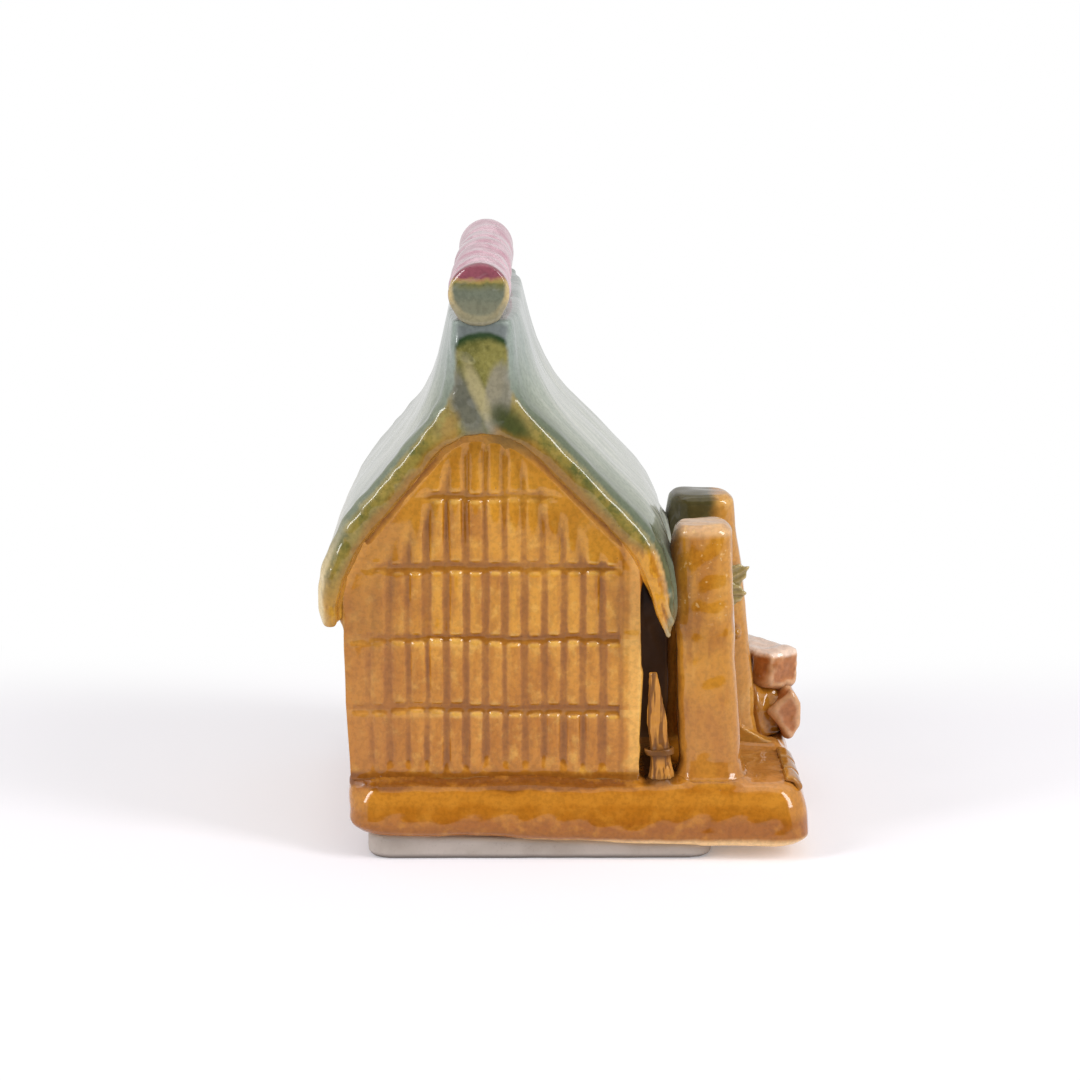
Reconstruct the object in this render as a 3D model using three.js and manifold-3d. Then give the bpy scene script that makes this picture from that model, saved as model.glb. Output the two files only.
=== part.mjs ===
// A hand-built ceramic hut: slab walls pressed with battens, two roof slabs pinched to a neck under a
// rolled ridge, and a porch side with two trunk posts, a sheaf, a leaf sprig and a pile of split logs.
// Millimetres. +X is the porch side, +Y runs along the ridge from the near to the far gable, +Z is up.
// The origin is the middle of the foot's underside.
import * as THREE from "three";
import { mergeVertices } from "three/addons/utils/BufferGeometryUtils.js";
import Module from "manifold-3d";

const wasm = await Module();
wasm.setup();

// Slip between two pieces that are luted together
const LUTE_GAP = 0.1;

// Walls, whose outer faces give the hut's width along X and its depth along Y
const HUT_WIDTH = 33.4;
const HUT_DEPTH = 40;
const WALL_T = 2.8;
const BATTEN_PITCH = 2.21;
const BATTEN_W = 1.5;
const BATTEN_RELIEF = 0.55;
const BATTEN_ROOT = 0.25;
const ROW_PITCH = 8.28;
const ROW_GROOVE = 0.8;
const PORCH_BEAD_W = 2.1;
const REAR_BEAD_W = 0.6;

// Base: the glazed slab, which splays a little downwards and hangs lower towards the porch
const BASE_H = 6.4;
const BASE_BACK_IN = 0.3;
const PORCH_DEPTH = 19.6;
const BASE_GABLE_OUT = 3;
const BASE_CORNER_R = 3.2;
const BASE_EDGE_W = 1.7;
const BASE_EDGE_H = 4;
const BASE_LIP_R = 0.9;
const BASE_FALL = 0.032;

// Foot: the bare slab that the base stands on, set in from the base's edges
const FOOT_H = 2.5;
const FOOT_BACK_IN = 2.1;
const FOOT_FRONT_IN = 11.2;
const FOOT_GABLE_IN = 1.5;
const FOOT_CORNER_R = 2.2;
const FOOT_LIP_R = 0.45;

// Doorway in the front wall, measured from the near gable's face
const DOOR_FROM_GABLE = 6.6;
const DOOR_W = 8;
const DOOR_H = 17.5;

// Roof: heights are above the base's top, runs are level distances from the ridge
const ROOF_OVERHANG = 3;
const ROOF_T = 3.2;
const RIDGE_FROM_BACK = 15.75;
const RIDGE_RISE = 1.2;
const NECK_HALF_RIM = 3.25;
const NECK_HALF_MID = 4;
const NECK_SPREAD_RIM = 0.3;
const NECK_SPREAD_MID = 2.6;
const NECK_BEND_RIM = 1.6;
const NECK_BEND_MID = 5.6;
const PINCH_LENGTH = 11;
const NECK_TOP_H = 53;
const NECK_FOOT_H = 45.3;
const INNER_APEX_DROP = 4.9;
const SHOULDER_BEND = 4;
const EAVE_BULGE_W = 0.4;
const RIM_ROUND = 0.7;
const PORCH_SLOPE = {
  side: 1,
  eaveOut: 3.75,
  shoulderH: 28.4,
  shoulderIn: 1.4,
  crownT: 1.25,
  eaveH: 20.6,
  eaveT: 2.6,
  tipH: 17.6,
  tipIn: 0.4,
  tipT: 0.5,
};
const REAR_SLOPE = {
  side: -1,
  eaveOut: 2.95,
  shoulderH: 29,
  shoulderIn: 1.7,
  crownT: 0.2,
  eaveH: 20.8,
  eaveT: 2.5,
  tipH: 18.6,
  tipIn: 0.9,
  tipT: 1.5,
};

// Ridge roll, which the neck's top cradles
const ROLL_R = 3.4;
const ROLL_EDGE_R = 0.7;
const ROLL_SEAT = 0.5;
const ROLL_SETBACK = 0.3;

// Coils pressed into the corner between a gable and the roof's underside
const COIL_W = 2.7;
const COIL_PROUD = 1.5;
const COIL_SOFTEN = 0.6;
const COIL_FOOT_H = 24.5;

// Trunk posts
const POST_DEPTH = 7;
const POST_CLEAR = 0.3;
const NEAR_POST_H = 29.4;
const NEAR_POST_TOP_W = 6.5;
const NEAR_POST_FOOT_W = 7.1;
const NEAR_POST_LEAN = 1;
const NEAR_POST_SETBACK = 2.5;
const NEAR_POST_FLARE = 0.7;
const FAR_POST_H = 30.1;
const FAR_POST_TOP_W = 7.5;
const FAR_POST_FOOT_W = 11.4;
const FAR_POST_FLARE = 0.2;
const POST_SPACING = 15.2;
const POST_ROUND = 0.7;
const POST_SQUARENESS = 0.62;
const ROOT_REACH = 1.8;
const ROOT_TOE_H = 1;
const ROOT_H = 7;
const ROOT_W = 2.2;

// Screen that closes the porch beyond the doorway
const SCREEN_T = 2.6;
const SCREEN_FROM_FACE = 1.4;

// Sheaf in the corner between the near gable and the near post
const SHEAF_FOOT_R = 1.15;
const SHEAF_TOP_R = 0.4;
const SHEAF_H = 12.4;
const SHEAF_LEAN = 0.09;
const SHEAF_FROM_WALL = 2.65;
const SHEAF_SETBACK = 1;
const SHEAF_REEDS = 9;
const REED_GROOVE = 0.1;
const BAND_H = 0.7;
const BAND_T = 0.3;
const BAND_UP = 2.1;

// Woodpile beyond the far post's root: each log is a wedge split from a round one
const LOG_R = 4.1;
const UPPER_LOG_R = 4.6;
const LOG_LENGTH = 13;
const UPPER_LOG_LENGTH = 10.5;
const LOG_HEART_R = 0.5;
const LOG_GAP = 0.4;
const PILE_OVERHANG = 0.9;
const UPPER_LOG_SETBACK = 1.2;
const LOWER_SPLIT_ANGLES = [-0.73, 0.78];
const UPPER_SPLIT_ANGLES = [-1.15, 0.02];
const BACK_SPLIT_ANGLES = [-1.4, 0.15];
const LOWER_LOG_YAW = 0.06;
const UPPER_LOG_YAW = 0.6;

// Leaf sprig on the far post's near face: leaves lie over each other, and the stem ends in a berry
const UPPER_LEAF_LENGTH = 6.3;
const MIDDLE_LEAF_LENGTH = 5.1;
const LOWER_LEAF_LENGTH = 4.6;
const UPPER_LEAF_TURN = 0.54;
const MIDDLE_LEAF_TURN = 0.04;
const LOWER_LEAF_TURN = -0.7;
const LEAF_W = 2.2;
const LEAF_BELLY = 0.5;
const LEAF_T = 0.55;
const LEAF_BEVEL = 0.15;
const SPRIG_H = 18.6;
const SPRIG_FROM_SIDE = 3.6;
const STEM_R = 0.4;
const STEM_LENGTH = 3.6;
const STEM_TURN = -0.88;
const STEM_START = 1.6;
const BERRY_R = 0.75;

// Ribbed doorstep over the base's front edge
const RIB_PITCH = 4.2;
const RIB_W = 3.5;
const RIB_T = 0.6;
const RIB_LENGTH = 1;
const RIB_WRAP = 0.75;
const RIB_COUNT = 3;

// Places that follow from the sizes
const baseLength = HUT_WIDTH - BASE_BACK_IN + PORCH_DEPTH;
const baseDepth = HUT_DEPTH + 2 * BASE_GABLE_OUT;
const footLength = baseLength - FOOT_BACK_IN - FOOT_FRONT_IN;
const footDepth = baseDepth - 2 * FOOT_GABLE_IN;
const baseBack = -footLength / 2 - FOOT_BACK_IN;
const baseFront = baseBack + baseLength;
const baseTop = FOOT_H + BASE_H;
const floorZ = baseTop + LUTE_GAP;
const wallBack = baseBack - BASE_BACK_IN;
const wallFront = wallBack + HUT_WIDTH;
const gableY = HUT_DEPTH / 2;
const ridgeX = wallBack + RIDGE_FROM_BACK;
const rimY = gableY + ROOF_OVERHANG;
const roofLength = 2 * rimY;
const eaveX = wallFront + PORCH_SLOPE.eaveOut;
const ridgeTilt = Math.atan2(RIDGE_RISE, roofLength);
const rollCentreZ = baseTop + NECK_TOP_H + RIDGE_RISE / 2 + ROLL_R - ROLL_SEAT;
const nearPostY = -gableY - ROOF_OVERHANG + NEAR_POST_SETBACK + POST_DEPTH / 2;
const farPostY = nearPostY + POST_SPACING;
const farPostLeft = eaveX + POST_CLEAR;
const farPostFace = farPostY - POST_DEPTH / 2;

// Glazes
const AMBER = { color: 0xb8731f, roughness: 0.16, metalness: 0 };
const DARK_AMBER = { color: 0x5e3312, roughness: 0.14, metalness: 0 };
const CELADON = { color: 0xc3cfc4, roughness: 0.14, metalness: 0 };
const OLIVE = { color: 0x7a7a3a, roughness: 0.2, metalness: 0 };
const ROSE = { color: 0xb07586, roughness: 0.14, metalness: 0 };
const STRAW = { color: 0xb98a34, roughness: 0.2, metalness: 0 };
const BARE_CLAY = { color: 0xc9cbc4, roughness: 0.75, metalness: 0 };

const hut = new THREE.Group();

function addPiece(name, geometry, glaze, group = hut) {
  const mesh = new THREE.Mesh(geometry, new THREE.MeshStandardMaterial(glaze));
  mesh.name = name;
  group.add(mesh);
  return mesh;
}

// A closed geometry as a solid that can be cut and joined
function solidOf(geometry) {
  const plain = geometry.clone();
  plain.deleteAttribute("normal");
  plain.deleteAttribute("uv");
  const merged = mergeVertices(plain, 1e-4);
  const vertProperties = merged.attributes.position.array;
  const triVerts = new Uint32Array(merged.index.array);
  return new wasm.Manifold(new wasm.Mesh({ numProp: 3, vertProperties, triVerts }));
}

function geometryOf(solid) {
  const mesh = solid.getMesh();
  const geometry = new THREE.BufferGeometry();
  geometry.setAttribute("position", new THREE.BufferAttribute(mesh.vertProperties, 3));
  geometry.setIndex(new THREE.BufferAttribute(mesh.triVerts, 1));
  return geometry;
}

function boxBetween(low, high) {
  const size = high.map((value, axis) => value - low[axis]);
  const box = new THREE.BoxGeometry(...size);
  box.translate(...low.map((value, axis) => value + size[axis] / 2));
  return box;
}

// A skin over rings of equal count, closed by a flat cap at each end. Rings turn anticlockwise seen
// from the last ring's side, and flat() gives the two coordinates that the caps are cut in.
function loft(rings, flat) {
  const count = rings[0].length;
  const positions = rings.flat().flatMap((point) => [point.x, point.y, point.z]);
  const index = [];
  for (let ring = 0; ring < rings.length - 1; ring++) {
    for (let i = 0; i < count; i++) {
      const a = ring * count + i;
      const b = ring * count + ((i + 1) % count);
      index.push(a, b, b + count, a, b + count, a + count);
    }
  }
  const lastStart = (rings.length - 1) * count;
  const capOf = (ring) => THREE.ShapeUtils.triangulateShape(ring.map(flat), []);
  for (const [a, b, c] of capOf(rings[0])) index.push(c, b, a);
  for (const [a, b, c] of capOf(rings.at(-1))) index.push(lastStart + a, lastStart + b, lastStart + c);
  const geometry = new THREE.BufferGeometry();
  geometry.setAttribute("position", new THREE.Float32BufferAttribute(positions, 3));
  geometry.setIndex(index);
  return geometry;
}

const flatXY = (point) => new THREE.Vector2(point.x, point.y);
// Seen against +Y, so that a ring that turns anticlockwise here faces the loft's far end
const flatZX = (point) => new THREE.Vector2(point.z, point.x);

// An outline in the X-Z plane, given as [x, z] points, pulled along Y
function pulledAlongY(outline, fromY, toY) {
  const ordered = THREE.ShapeUtils.isClockWise(outline.map(([x, z]) => new THREE.Vector2(z, x)))
    ? [...outline].reverse()
    : outline;
  const ringAt = (y) => ordered.map(([x, z]) => new THREE.Vector3(x, y, z));
  return loft([ringAt(fromY), ringAt(toY)], flatZX);
}

// Foot and base

function roundedRectangle(lowX, highX, halfY, radius, zAt) {
  const steps = 5;
  const corners = [
    [highX - radius, halfY - radius, 0],
    [lowX + radius, halfY - radius, 1],
    [lowX + radius, radius - halfY, 2],
    [highX - radius, radius - halfY, 3],
  ];
  return corners.flatMap(([x, y, quarter]) =>
    Array.from({ length: steps + 1 }, (_, step) => {
      const angle = (quarter + step / steps) * (Math.PI / 2);
      const px = x + radius * Math.cos(angle);
      return new THREE.Vector3(px, y + radius * Math.sin(angle), zAt(px));
    }),
  );
}

// Height of the base's underside, which hangs a little lower towards the porch
const undersideAt = (x) => FOOT_H - BASE_FALL * x;

function footSlab() {
  const halfX = footLength / 2;
  const halfY = footDepth / 2;
  const ringAt = (inset, zAt) =>
    roundedRectangle(inset - halfX, halfX - inset, halfY - inset, FOOT_CORNER_R, zAt);
  const footTop = (x) => undersideAt(x) - LUTE_GAP;
  return loft([ringAt(FOOT_LIP_R, () => 0), ringAt(0, () => FOOT_LIP_R), ringAt(0, footTop)], flatXY);
}

// Inset and height of the base's long soft edge, from upright at angle 0 to level at a quarter turn,
// and the same curve a distance outside it
function baseEdge(angle, outside = 0) {
  return {
    inset: BASE_EDGE_W - (BASE_EDGE_W + outside) * Math.cos(angle),
    height: baseTop - BASE_EDGE_H + (BASE_EDGE_H + outside) * Math.sin(angle),
  };
}

function baseSlab() {
  const ringAt = (inset, zAt) =>
    roundedRectangle(baseBack + inset, baseFront - inset, baseDepth / 2 - inset, BASE_CORNER_R, zAt);
  const rings = [ringAt(BASE_LIP_R, undersideAt), ringAt(0, (x) => undersideAt(x) + BASE_LIP_R)];
  const steps = 5;
  for (let step = 0; step <= steps; step++) {
    const { inset, height } = baseEdge((step / steps) * (Math.PI / 2));
    rings.push(ringAt(inset, () => height));
  }
  return loft(rings, flatXY);
}

// Roof outlines, as [run from the ridge, height] points

const along = (from, to, distance) => {
  const length = Math.hypot(to[0] - from[0], to[1] - from[1]);
  const share = distance / length;
  return [from[0] + (to[0] - from[0]) * share, from[1] + (to[1] - from[1]) * share];
};
const middle = (a, b) => [(a[0] + b[0]) / 2, (a[1] + b[1]) / 2];

// The line through two points, moved inwards by a distance square to it
function inward(from, to, distance) {
  const length = Math.hypot(to[0] - from[0], to[1] - from[1]);
  const shift = [((to[1] - from[1]) / length) * distance, ((from[0] - to[0]) / length) * distance];
  return [from, to].map(([run, height]) => [run + shift[0], height + shift[1]]);
}

function meeting([a, b], [c, d]) {
  const r = [b[0] - a[0], b[1] - a[1]];
  const s = [d[0] - c[0], d[1] - c[1]];
  const share = ((c[0] - a[0]) * s[1] - (c[1] - a[1]) * s[0]) / (r[0] * s[1] - r[1] * s[0]);
  return [a[0] + r[0] * share, a[1] + r[1] * share];
}

// The corners that a slope's outside bends round
function slopeCorners(slope) {
  const wall = slope.side > 0 ? wallFront - ridgeX : ridgeX - wallBack;
  const eaveRun = wall + slope.eaveOut;
  return {
    neckFoot: [NECK_HALF_RIM, baseTop + NECK_FOOT_H],
    shoulder: [eaveRun - slope.shoulderIn, baseTop + slope.shoulderH],
    eave: [eaveRun + EAVE_BULGE_W, baseTop + slope.eaveH],
    tip: [eaveRun - slope.tipIn, baseTop + slope.tipH],
  };
}

const neckTopAt = (y) => baseTop + NECK_TOP_H + RIDGE_RISE * (y / roofLength + 0.5);

// Pinch is 1 at the rim, where the two slabs are squeezed to a narrow neck, and 0 along the middle
function slopeOutside(slope, pinch, y, points) {
  const corners = slopeCorners(slope);
  const { lerp } = THREE.MathUtils;
  const crown = slope.crownT * (1 - pinch);
  const [neckFoot, shoulder] = inward(corners.neckFoot, corners.shoulder, -crown);
  const { eave, tip } = corners;
  const neckHalf = lerp(NECK_HALF_MID, NECK_HALF_RIM, pinch);
  const neckRoot = neckHalf + lerp(NECK_SPREAD_MID, NECK_SPREAD_RIM, pinch);
  const bend = lerp(NECK_BEND_MID, NECK_BEND_RIM, pinch);
  const top = [neckHalf, neckTopAt(y)];
  const root = meeting([neckFoot, shoulder], [[neckRoot, 0], [neckRoot, 1]]);
  const path = new THREE.Path();
  path.moveTo(...top);
  path.lineTo(...along(root, top, bend));
  path.quadraticCurveTo(...root, ...along(root, shoulder, bend));
  path.lineTo(...along(shoulder, root, SHOULDER_BEND));
  path.quadraticCurveTo(...shoulder, ...middle(shoulder, eave));
  path.quadraticCurveTo(...eave, ...tip);
  return path.getSpacedPoints(points).map((point) => [point.x, point.y]);
}

// The underside from the eave's tip up to the seam between the slabs, lowered by a clearance
function slopeInside(slope, clearance, points) {
  const { neckFoot, shoulder, eave, tip } = slopeCorners(slope);
  const slopeLine = inward(neckFoot, shoulder, ROOF_T + clearance);
  const dropLine = inward(shoulder, eave, slope.eaveT + clearance);
  const innerShoulder = meeting(slopeLine, dropLine);
  const innerEave = [innerShoulder[0] + eave[0] - shoulder[0], innerShoulder[1] + eave[1] - shoulder[1]];
  const apexZ = neckFoot[1] - INNER_APEX_DROP - clearance;
  const apexCorner = meeting(slopeLine, [[0, apexZ], [1, apexZ]]);
  const path = new THREE.Path();
  path.moveTo(tip[0] - slope.tipT - clearance, tip[1]);
  path.quadraticCurveTo(...innerEave, ...middle(innerShoulder, innerEave));
  path.quadraticCurveTo(...innerShoulder, ...along(innerShoulder, apexCorner, SHOULDER_BEND));
  path.lineTo(...along(apexCorner, innerShoulder, apexCorner[0]));
  path.quadraticCurveTo(...apexCorner, LUTE_GAP / 2, apexZ);
  return path.getSpacedPoints(points).map((point) => [point.x, point.y]);
}

const OUTSIDE_POINTS = 17;
const INSIDE_POINTS = 14;

// How far the neck is squeezed at a distance along the ridge
function pinchAt(y) {
  const fromRim = Math.min(1, (rimY - Math.abs(y)) / PINCH_LENGTH);
  return 0.5 + 0.5 * Math.cos(Math.PI * fromRim);
}

function roofSlab(slope) {
  const half = roofLength / 2;
  const pinchStations = [0, 0.12, 0.3, 0.5, 0.75, 1];
  const fromMiddle = pinchStations.map((share) => half - RIM_ROUND - (1 - share) * PINCH_LENGTH);
  const stations = [...fromMiddle, half];
  const ys = [...stations.map((y) => -y).reverse(), ...stations];
  const rings = ys.map((y) => {
    const atRim = Math.abs(y) === half;
    const outside = slopeOutside(slope, pinchAt(y), y, OUTSIDE_POINTS);
    const inside = slopeInside(slope, 0, INSIDE_POINTS);
    const outline = [...outside, ...inside, [LUTE_GAP / 2, neckTopAt(y)]];
    return outline.map(([run, height], i) => {
      const onOutside = i > 0 && i < OUTSIDE_POINTS;
      const drawnIn = atRim && onOutside ? RIM_ROUND * Math.SQRT1_2 : 0;
      return new THREE.Vector3(ridgeX + slope.side * (run - drawnIn), y, height - drawnIn);
    });
  });
  const turned = slope.side > 0 ? rings : rings.map((ring) => [...ring].reverse());
  return solidOf(loft(turned, flatZX)).subtract(solidOf(ridgeRoll(LUTE_GAP)));
}

// The roll, swollen by a clearance where it is the tool that hollows its seat
function ridgeRoll(clearance) {
  const radius = ROLL_R + clearance;
  const half = roofLength / 2 + clearance;
  const profile = new THREE.Path();
  profile.moveTo(0, -half);
  profile.lineTo(radius - ROLL_EDGE_R, -half);
  profile.quadraticCurveTo(radius, -half, radius, ROLL_EDGE_R - half);
  profile.lineTo(radius, half - ROLL_EDGE_R);
  profile.quadraticCurveTo(radius, half, radius - ROLL_EDGE_R, half);
  profile.lineTo(0, half);
  const turns = 28;
  const roll = new THREE.LatheGeometry(profile.getPoints(3), turns);
  roll.rotateX(ridgeTilt);
  roll.translate(ridgeX - ROLL_SETBACK, 0, rollCentreZ);
  return roll;
}

// Everything under the roof's underside, as a block that the walls are cut by
function underRoof() {
  const reach = 2 * HUT_WIDTH;
  const under = (slope) =>
    slopeInside(slope, LUTE_GAP, INSIDE_POINTS).map(([run, height]) => [ridgeX + slope.side * run, height]);
  const porch = under(PORCH_SLOPE);
  const rear = under(REAR_SLOPE);
  const porchTip = porch[0];
  const rearTip = rear[0];
  const outline = [
    [-reach, baseTop],
    [reach, baseTop],
    [reach, porchTip[1]],
    ...porch,
    ...rear.reverse(),
    [-reach, rearTip[1]],
  ];
  return solidOf(pulledAlongY(outline, -reach, reach));
}

// Walls, made lying along X with their pressed face towards -Y

// One raised batten, whose root is sunk in the wall's core
function batten(x, width, low, high) {
  const half = width / 2;
  const shape = new THREE.Shape();
  shape.moveTo(-half, BATTEN_ROOT);
  shape.lineTo(-half, 0);
  shape.quadraticCurveTo(-half, -BATTEN_RELIEF, 0, -BATTEN_RELIEF);
  shape.quadraticCurveTo(half, -BATTEN_RELIEF, half, 0);
  shape.lineTo(half, BATTEN_ROOT);
  const depth = high - low;
  const solid = new THREE.ExtrudeGeometry(shape, { depth, bevelEnabled: false, curveSegments: 2 });
  solid.translate(x, BATTEN_RELIEF, low);
  return solidOf(solid);
}

// A smooth bead closes each end of a gable, and the side walls between the gables have none
function battenedWall(length, height, leftBead, rightBead) {
  const half = length / 2;
  const core = solidOf(boxBetween([-half, BATTEN_RELIEF, 0], [half, WALL_T, height]));
  const field = length - leftBead - rightBead;
  const count = Math.floor((field - BATTEN_W) / BATTEN_PITCH) + 1;
  const first = (leftBead - rightBead) / 2 - ((count - 1) / 2) * BATTEN_PITCH;
  const rows = Math.ceil(height / ROW_PITCH);
  const pieces = [core];
  for (let row = 0; row < rows; row++) {
    const low = row * ROW_PITCH + (row > 0 ? ROW_GROOVE / 2 : 0);
    const high = Math.min((row + 1) * ROW_PITCH - ROW_GROOVE / 2, height);
    for (let i = 0; i < count; i++) pieces.push(batten(first + i * BATTEN_PITCH, BATTEN_W, low, high));
  }
  if (leftBead > 0) pieces.push(batten((leftBead - length) / 2, leftBead, 0, height));
  if (rightBead > 0) pieces.push(batten((length - rightBead) / 2, rightBead, 0, height));
  return wasm.Manifold.union(pieces);
}

const wallRoom = NECK_FOOT_H;
const sideLength = HUT_DEPTH - 2 * WALL_T - 2 * LUTE_GAP;
const hutMiddleX = (wallBack + wallFront) / 2;
const quarterTurn = 90;

function gableWall(turn, leftBead, rightBead) {
  const wall = battenedWall(HUT_WIDTH, wallRoom, leftBead, rightBead).translate([0, -gableY, floorZ]);
  return wall.rotate([0, 0, turn]).translate([hutMiddleX, 0, 0]).intersect(underRoof());
}

function sideWall(turn, x) {
  const wall = battenedWall(sideLength, wallRoom, 0, 0).rotate([0, 0, turn]).translate([x, 0, floorZ]);
  return wall.intersect(underRoof());
}

function frontWall() {
  const doorFrom = DOOR_FROM_GABLE - gableY;
  const cut = WALL_T + LUTE_GAP;
  const doorway = boxBetween(
    [wallFront - cut, doorFrom, floorZ - LUTE_GAP],
    [wallFront + cut, doorFrom + DOOR_W, floorZ + DOOR_H],
  );
  return sideWall(quarterTurn, wallFront).subtract(solidOf(doorway));
}

// A coil that follows one slope's underside on a gable's face, from its foot up to the seam
function vergeCoil(slope, gable) {
  const lineAt = (width) => slopeInside(slope, LUTE_GAP + width, 2 * INSIDE_POINTS);
  const top = lineAt(0).filter(([, height]) => height > baseTop + COIL_FOOT_H);
  const crown = lineAt(COIL_W - COIL_SOFTEN).slice(-top.length);
  const bottom = lineAt(COIL_W).slice(-top.length);
  const at = ([run, height], out) =>
    new THREE.Vector3(ridgeX + slope.side * run, gable * (gableY + LUTE_GAP + out), height);
  const rings = top.map((point, i) => [
    at(point, 0),
    at(bottom[i], 0),
    at(bottom[i], COIL_PROUD - COIL_SOFTEN),
    at(crown[i], COIL_PROUD),
    at(point, COIL_PROUD),
  ]);
  const turned = slope.side * gable > 0 ? rings.map((ring) => [...ring].reverse()) : rings;
  return loft(turned, (point) => new THREE.Vector2(-slope.side * point.y, point.z));
}

// Trunks: squarish sections that shift and swell with height

function squarishRing(x, y, halfX, halfY, z) {
  const sides = 20;
  return Array.from({ length: sides }, (_, i) => {
    const angle = (i / sides) * 2 * Math.PI;
    const soft = (value) => Math.sign(value) * Math.abs(value) ** POST_SQUARENESS;
    return new THREE.Vector3(x + halfX * soft(Math.cos(angle)), y + halfY * soft(Math.sin(angle)), z);
  });
}

// leftAt and rightAt give the trunk's two X faces at a share of its height
function trunk(y, tall, leftAt, rightAt, flare) {
  const steps = [
    [0, flare],
    [flare, flare / 2],
    [3 * flare, 0],
    [tall / 3, 0],
    [(2 * tall) / 3, 0],
    [tall - POST_ROUND, 0],
    [tall, -POST_ROUND],
  ];
  const rings = steps.map(([height, grow]) => {
    const left = leftAt(height / tall) - grow;
    const right = rightAt(height / tall) + grow;
    return squarishRing((left + right) / 2, y, (right - left) / 2, POST_DEPTH / 2 + grow, floorZ + height);
  });
  return loft(rings, flatXY);
}

function nearPost() {
  const eaveShare = PORCH_SLOPE.eaveH / NEAR_POST_H;
  const leftAt = (share) => eaveX + POST_CLEAR + NEAR_POST_LEAN * (eaveShare - share);
  const rightAt = (share) => leftAt(share) + THREE.MathUtils.lerp(NEAR_POST_FOOT_W, NEAR_POST_TOP_W, share);
  return trunk(nearPostY, NEAR_POST_H, leftAt, rightAt, NEAR_POST_FLARE);
}

// The far trunk widens downwards and sends one root out over the base, short of the woodpile
function farPost() {
  const widthAt = (share) => THREE.MathUtils.lerp(FAR_POST_FOOT_W, FAR_POST_TOP_W, share);
  const leftAt = () => farPostLeft;
  const rightAt = (share) => farPostLeft + widthAt(share);
  const bole = solidOf(trunk(farPostY, FAR_POST_H, leftAt, rightAt, FAR_POST_FLARE));
  const rootFrom = farPostLeft + FAR_POST_TOP_W / 2;
  const rootTip = farPostLeft + FAR_POST_FOOT_W + ROOT_REACH;
  const shape = new THREE.Path();
  shape.moveTo(rootFrom, floorZ);
  shape.lineTo(rootTip, floorZ);
  const rootTop = floorZ + ROOT_H;
  shape.quadraticCurveTo(rootTip - ROOT_REACH, floorZ + ROOT_TOE_H, farPostLeft + FAR_POST_TOP_W, rootTop);
  shape.lineTo(rootFrom, rootTop);
  const outline = shape.getPoints(6).map((point) => [point.x, point.y]);
  const root = solidOf(pulledAlongY(outline, farPostFace, farPostFace + ROOT_W));
  return bole.add(root);
}

function porchScreen() {
  const fromY = farPostFace + SCREEN_FROM_FACE;
  const low = [wallFront + LUTE_GAP, fromY, floorZ];
  const high = [farPostLeft - LUTE_GAP, fromY + SCREEN_T, baseTop + PORCH_SLOPE.tipH - LUTE_GAP];
  return boxBetween(low, high);
}

// Sheaf: a fluted bundle that narrows upwards, standing in its own leaning frame

function sheafRing(radius, z) {
  const sides = SHEAF_REEDS * 3;
  return Array.from({ length: sides }, (_, i) => {
    const angle = (i / sides) * 2 * Math.PI;
    const fluted = radius * (i % 3 === 0 ? 1 - REED_GROOVE : 1);
    return new THREE.Vector3(fluted * Math.cos(angle), fluted * Math.sin(angle), z);
  });
}

const sheafRadiusAt = (height) =>
  THREE.MathUtils.lerp(SHEAF_FOOT_R, SHEAF_TOP_R, Math.sqrt(height / SHEAF_H));

function strawSheaf() {
  const heights = [0, 0.15, 0.4, 0.7, 1].map((share) => share * SHEAF_H);
  return loft(heights.map((height) => sheafRing(sheafRadiusAt(height), height)), flatXY);
}

function sheafBand() {
  const inner = sheafRadiusAt(BAND_UP) + LUTE_GAP;
  const outer = inner + BAND_T;
  const profile = [[inner, 0], [outer, 0], [outer, BAND_H], [inner, BAND_H], [inner, 0]];
  const band = new THREE.LatheGeometry(profile.map(([r, z]) => new THREE.Vector2(r, z)), 24);
  band.rotateX(Math.PI / 2);
  band.translate(0, 0, BAND_UP + BAND_H);
  return band;
}

// Split logs: wedges between two angles, lying along Y with their low corner at the origin

function splitLog([fromAngle, toAngle], radius, length) {
  const shape = new THREE.Shape();
  shape.moveTo(LOG_HEART_R * Math.cos(fromAngle), LOG_HEART_R * Math.sin(fromAngle));
  shape.absarc(0, 0, radius, fromAngle, toAngle);
  shape.lineTo(LOG_HEART_R * Math.cos(toAngle), LOG_HEART_R * Math.sin(toAngle));
  const log = new THREE.ExtrudeGeometry(shape, { depth: length, bevelEnabled: false, curveSegments: 8 });
  log.rotateX(Math.PI / 2);
  log.computeBoundingBox();
  const { min } = log.boundingBox;
  log.translate(-min.x, -min.y, -min.z);
  return log;
}

const heightOf = (geometry) => new THREE.Box3().setFromBufferAttribute(geometry.attributes.position).max.z;

function addLog(name, log, x, y, z, yaw) {
  const mesh = addPiece(name, log, AMBER);
  mesh.position.set(x, y, z);
  mesh.rotation.z = yaw;
}

// Leaf sprig

function leaf(length) {
  const shape = new THREE.Shape();
  shape.moveTo(0, 0);
  shape.quadraticCurveTo(length * LEAF_BELLY, LEAF_W, length, 0);
  shape.quadraticCurveTo(length * LEAF_BELLY, -LEAF_W, 0, 0);
  const depth = LEAF_T - 2 * LEAF_BEVEL;
  const blade = new THREE.ExtrudeGeometry(shape, {
    depth,
    curveSegments: 6,
    bevelThickness: LEAF_BEVEL,
    bevelSize: LEAF_BEVEL,
    bevelOffset: -LEAF_BEVEL,
    bevelSegments: 1,
  });
  blade.rotateX(Math.PI / 2);
  blade.translate(0, -LEAF_BEVEL, 0);
  return blade;
}

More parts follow.
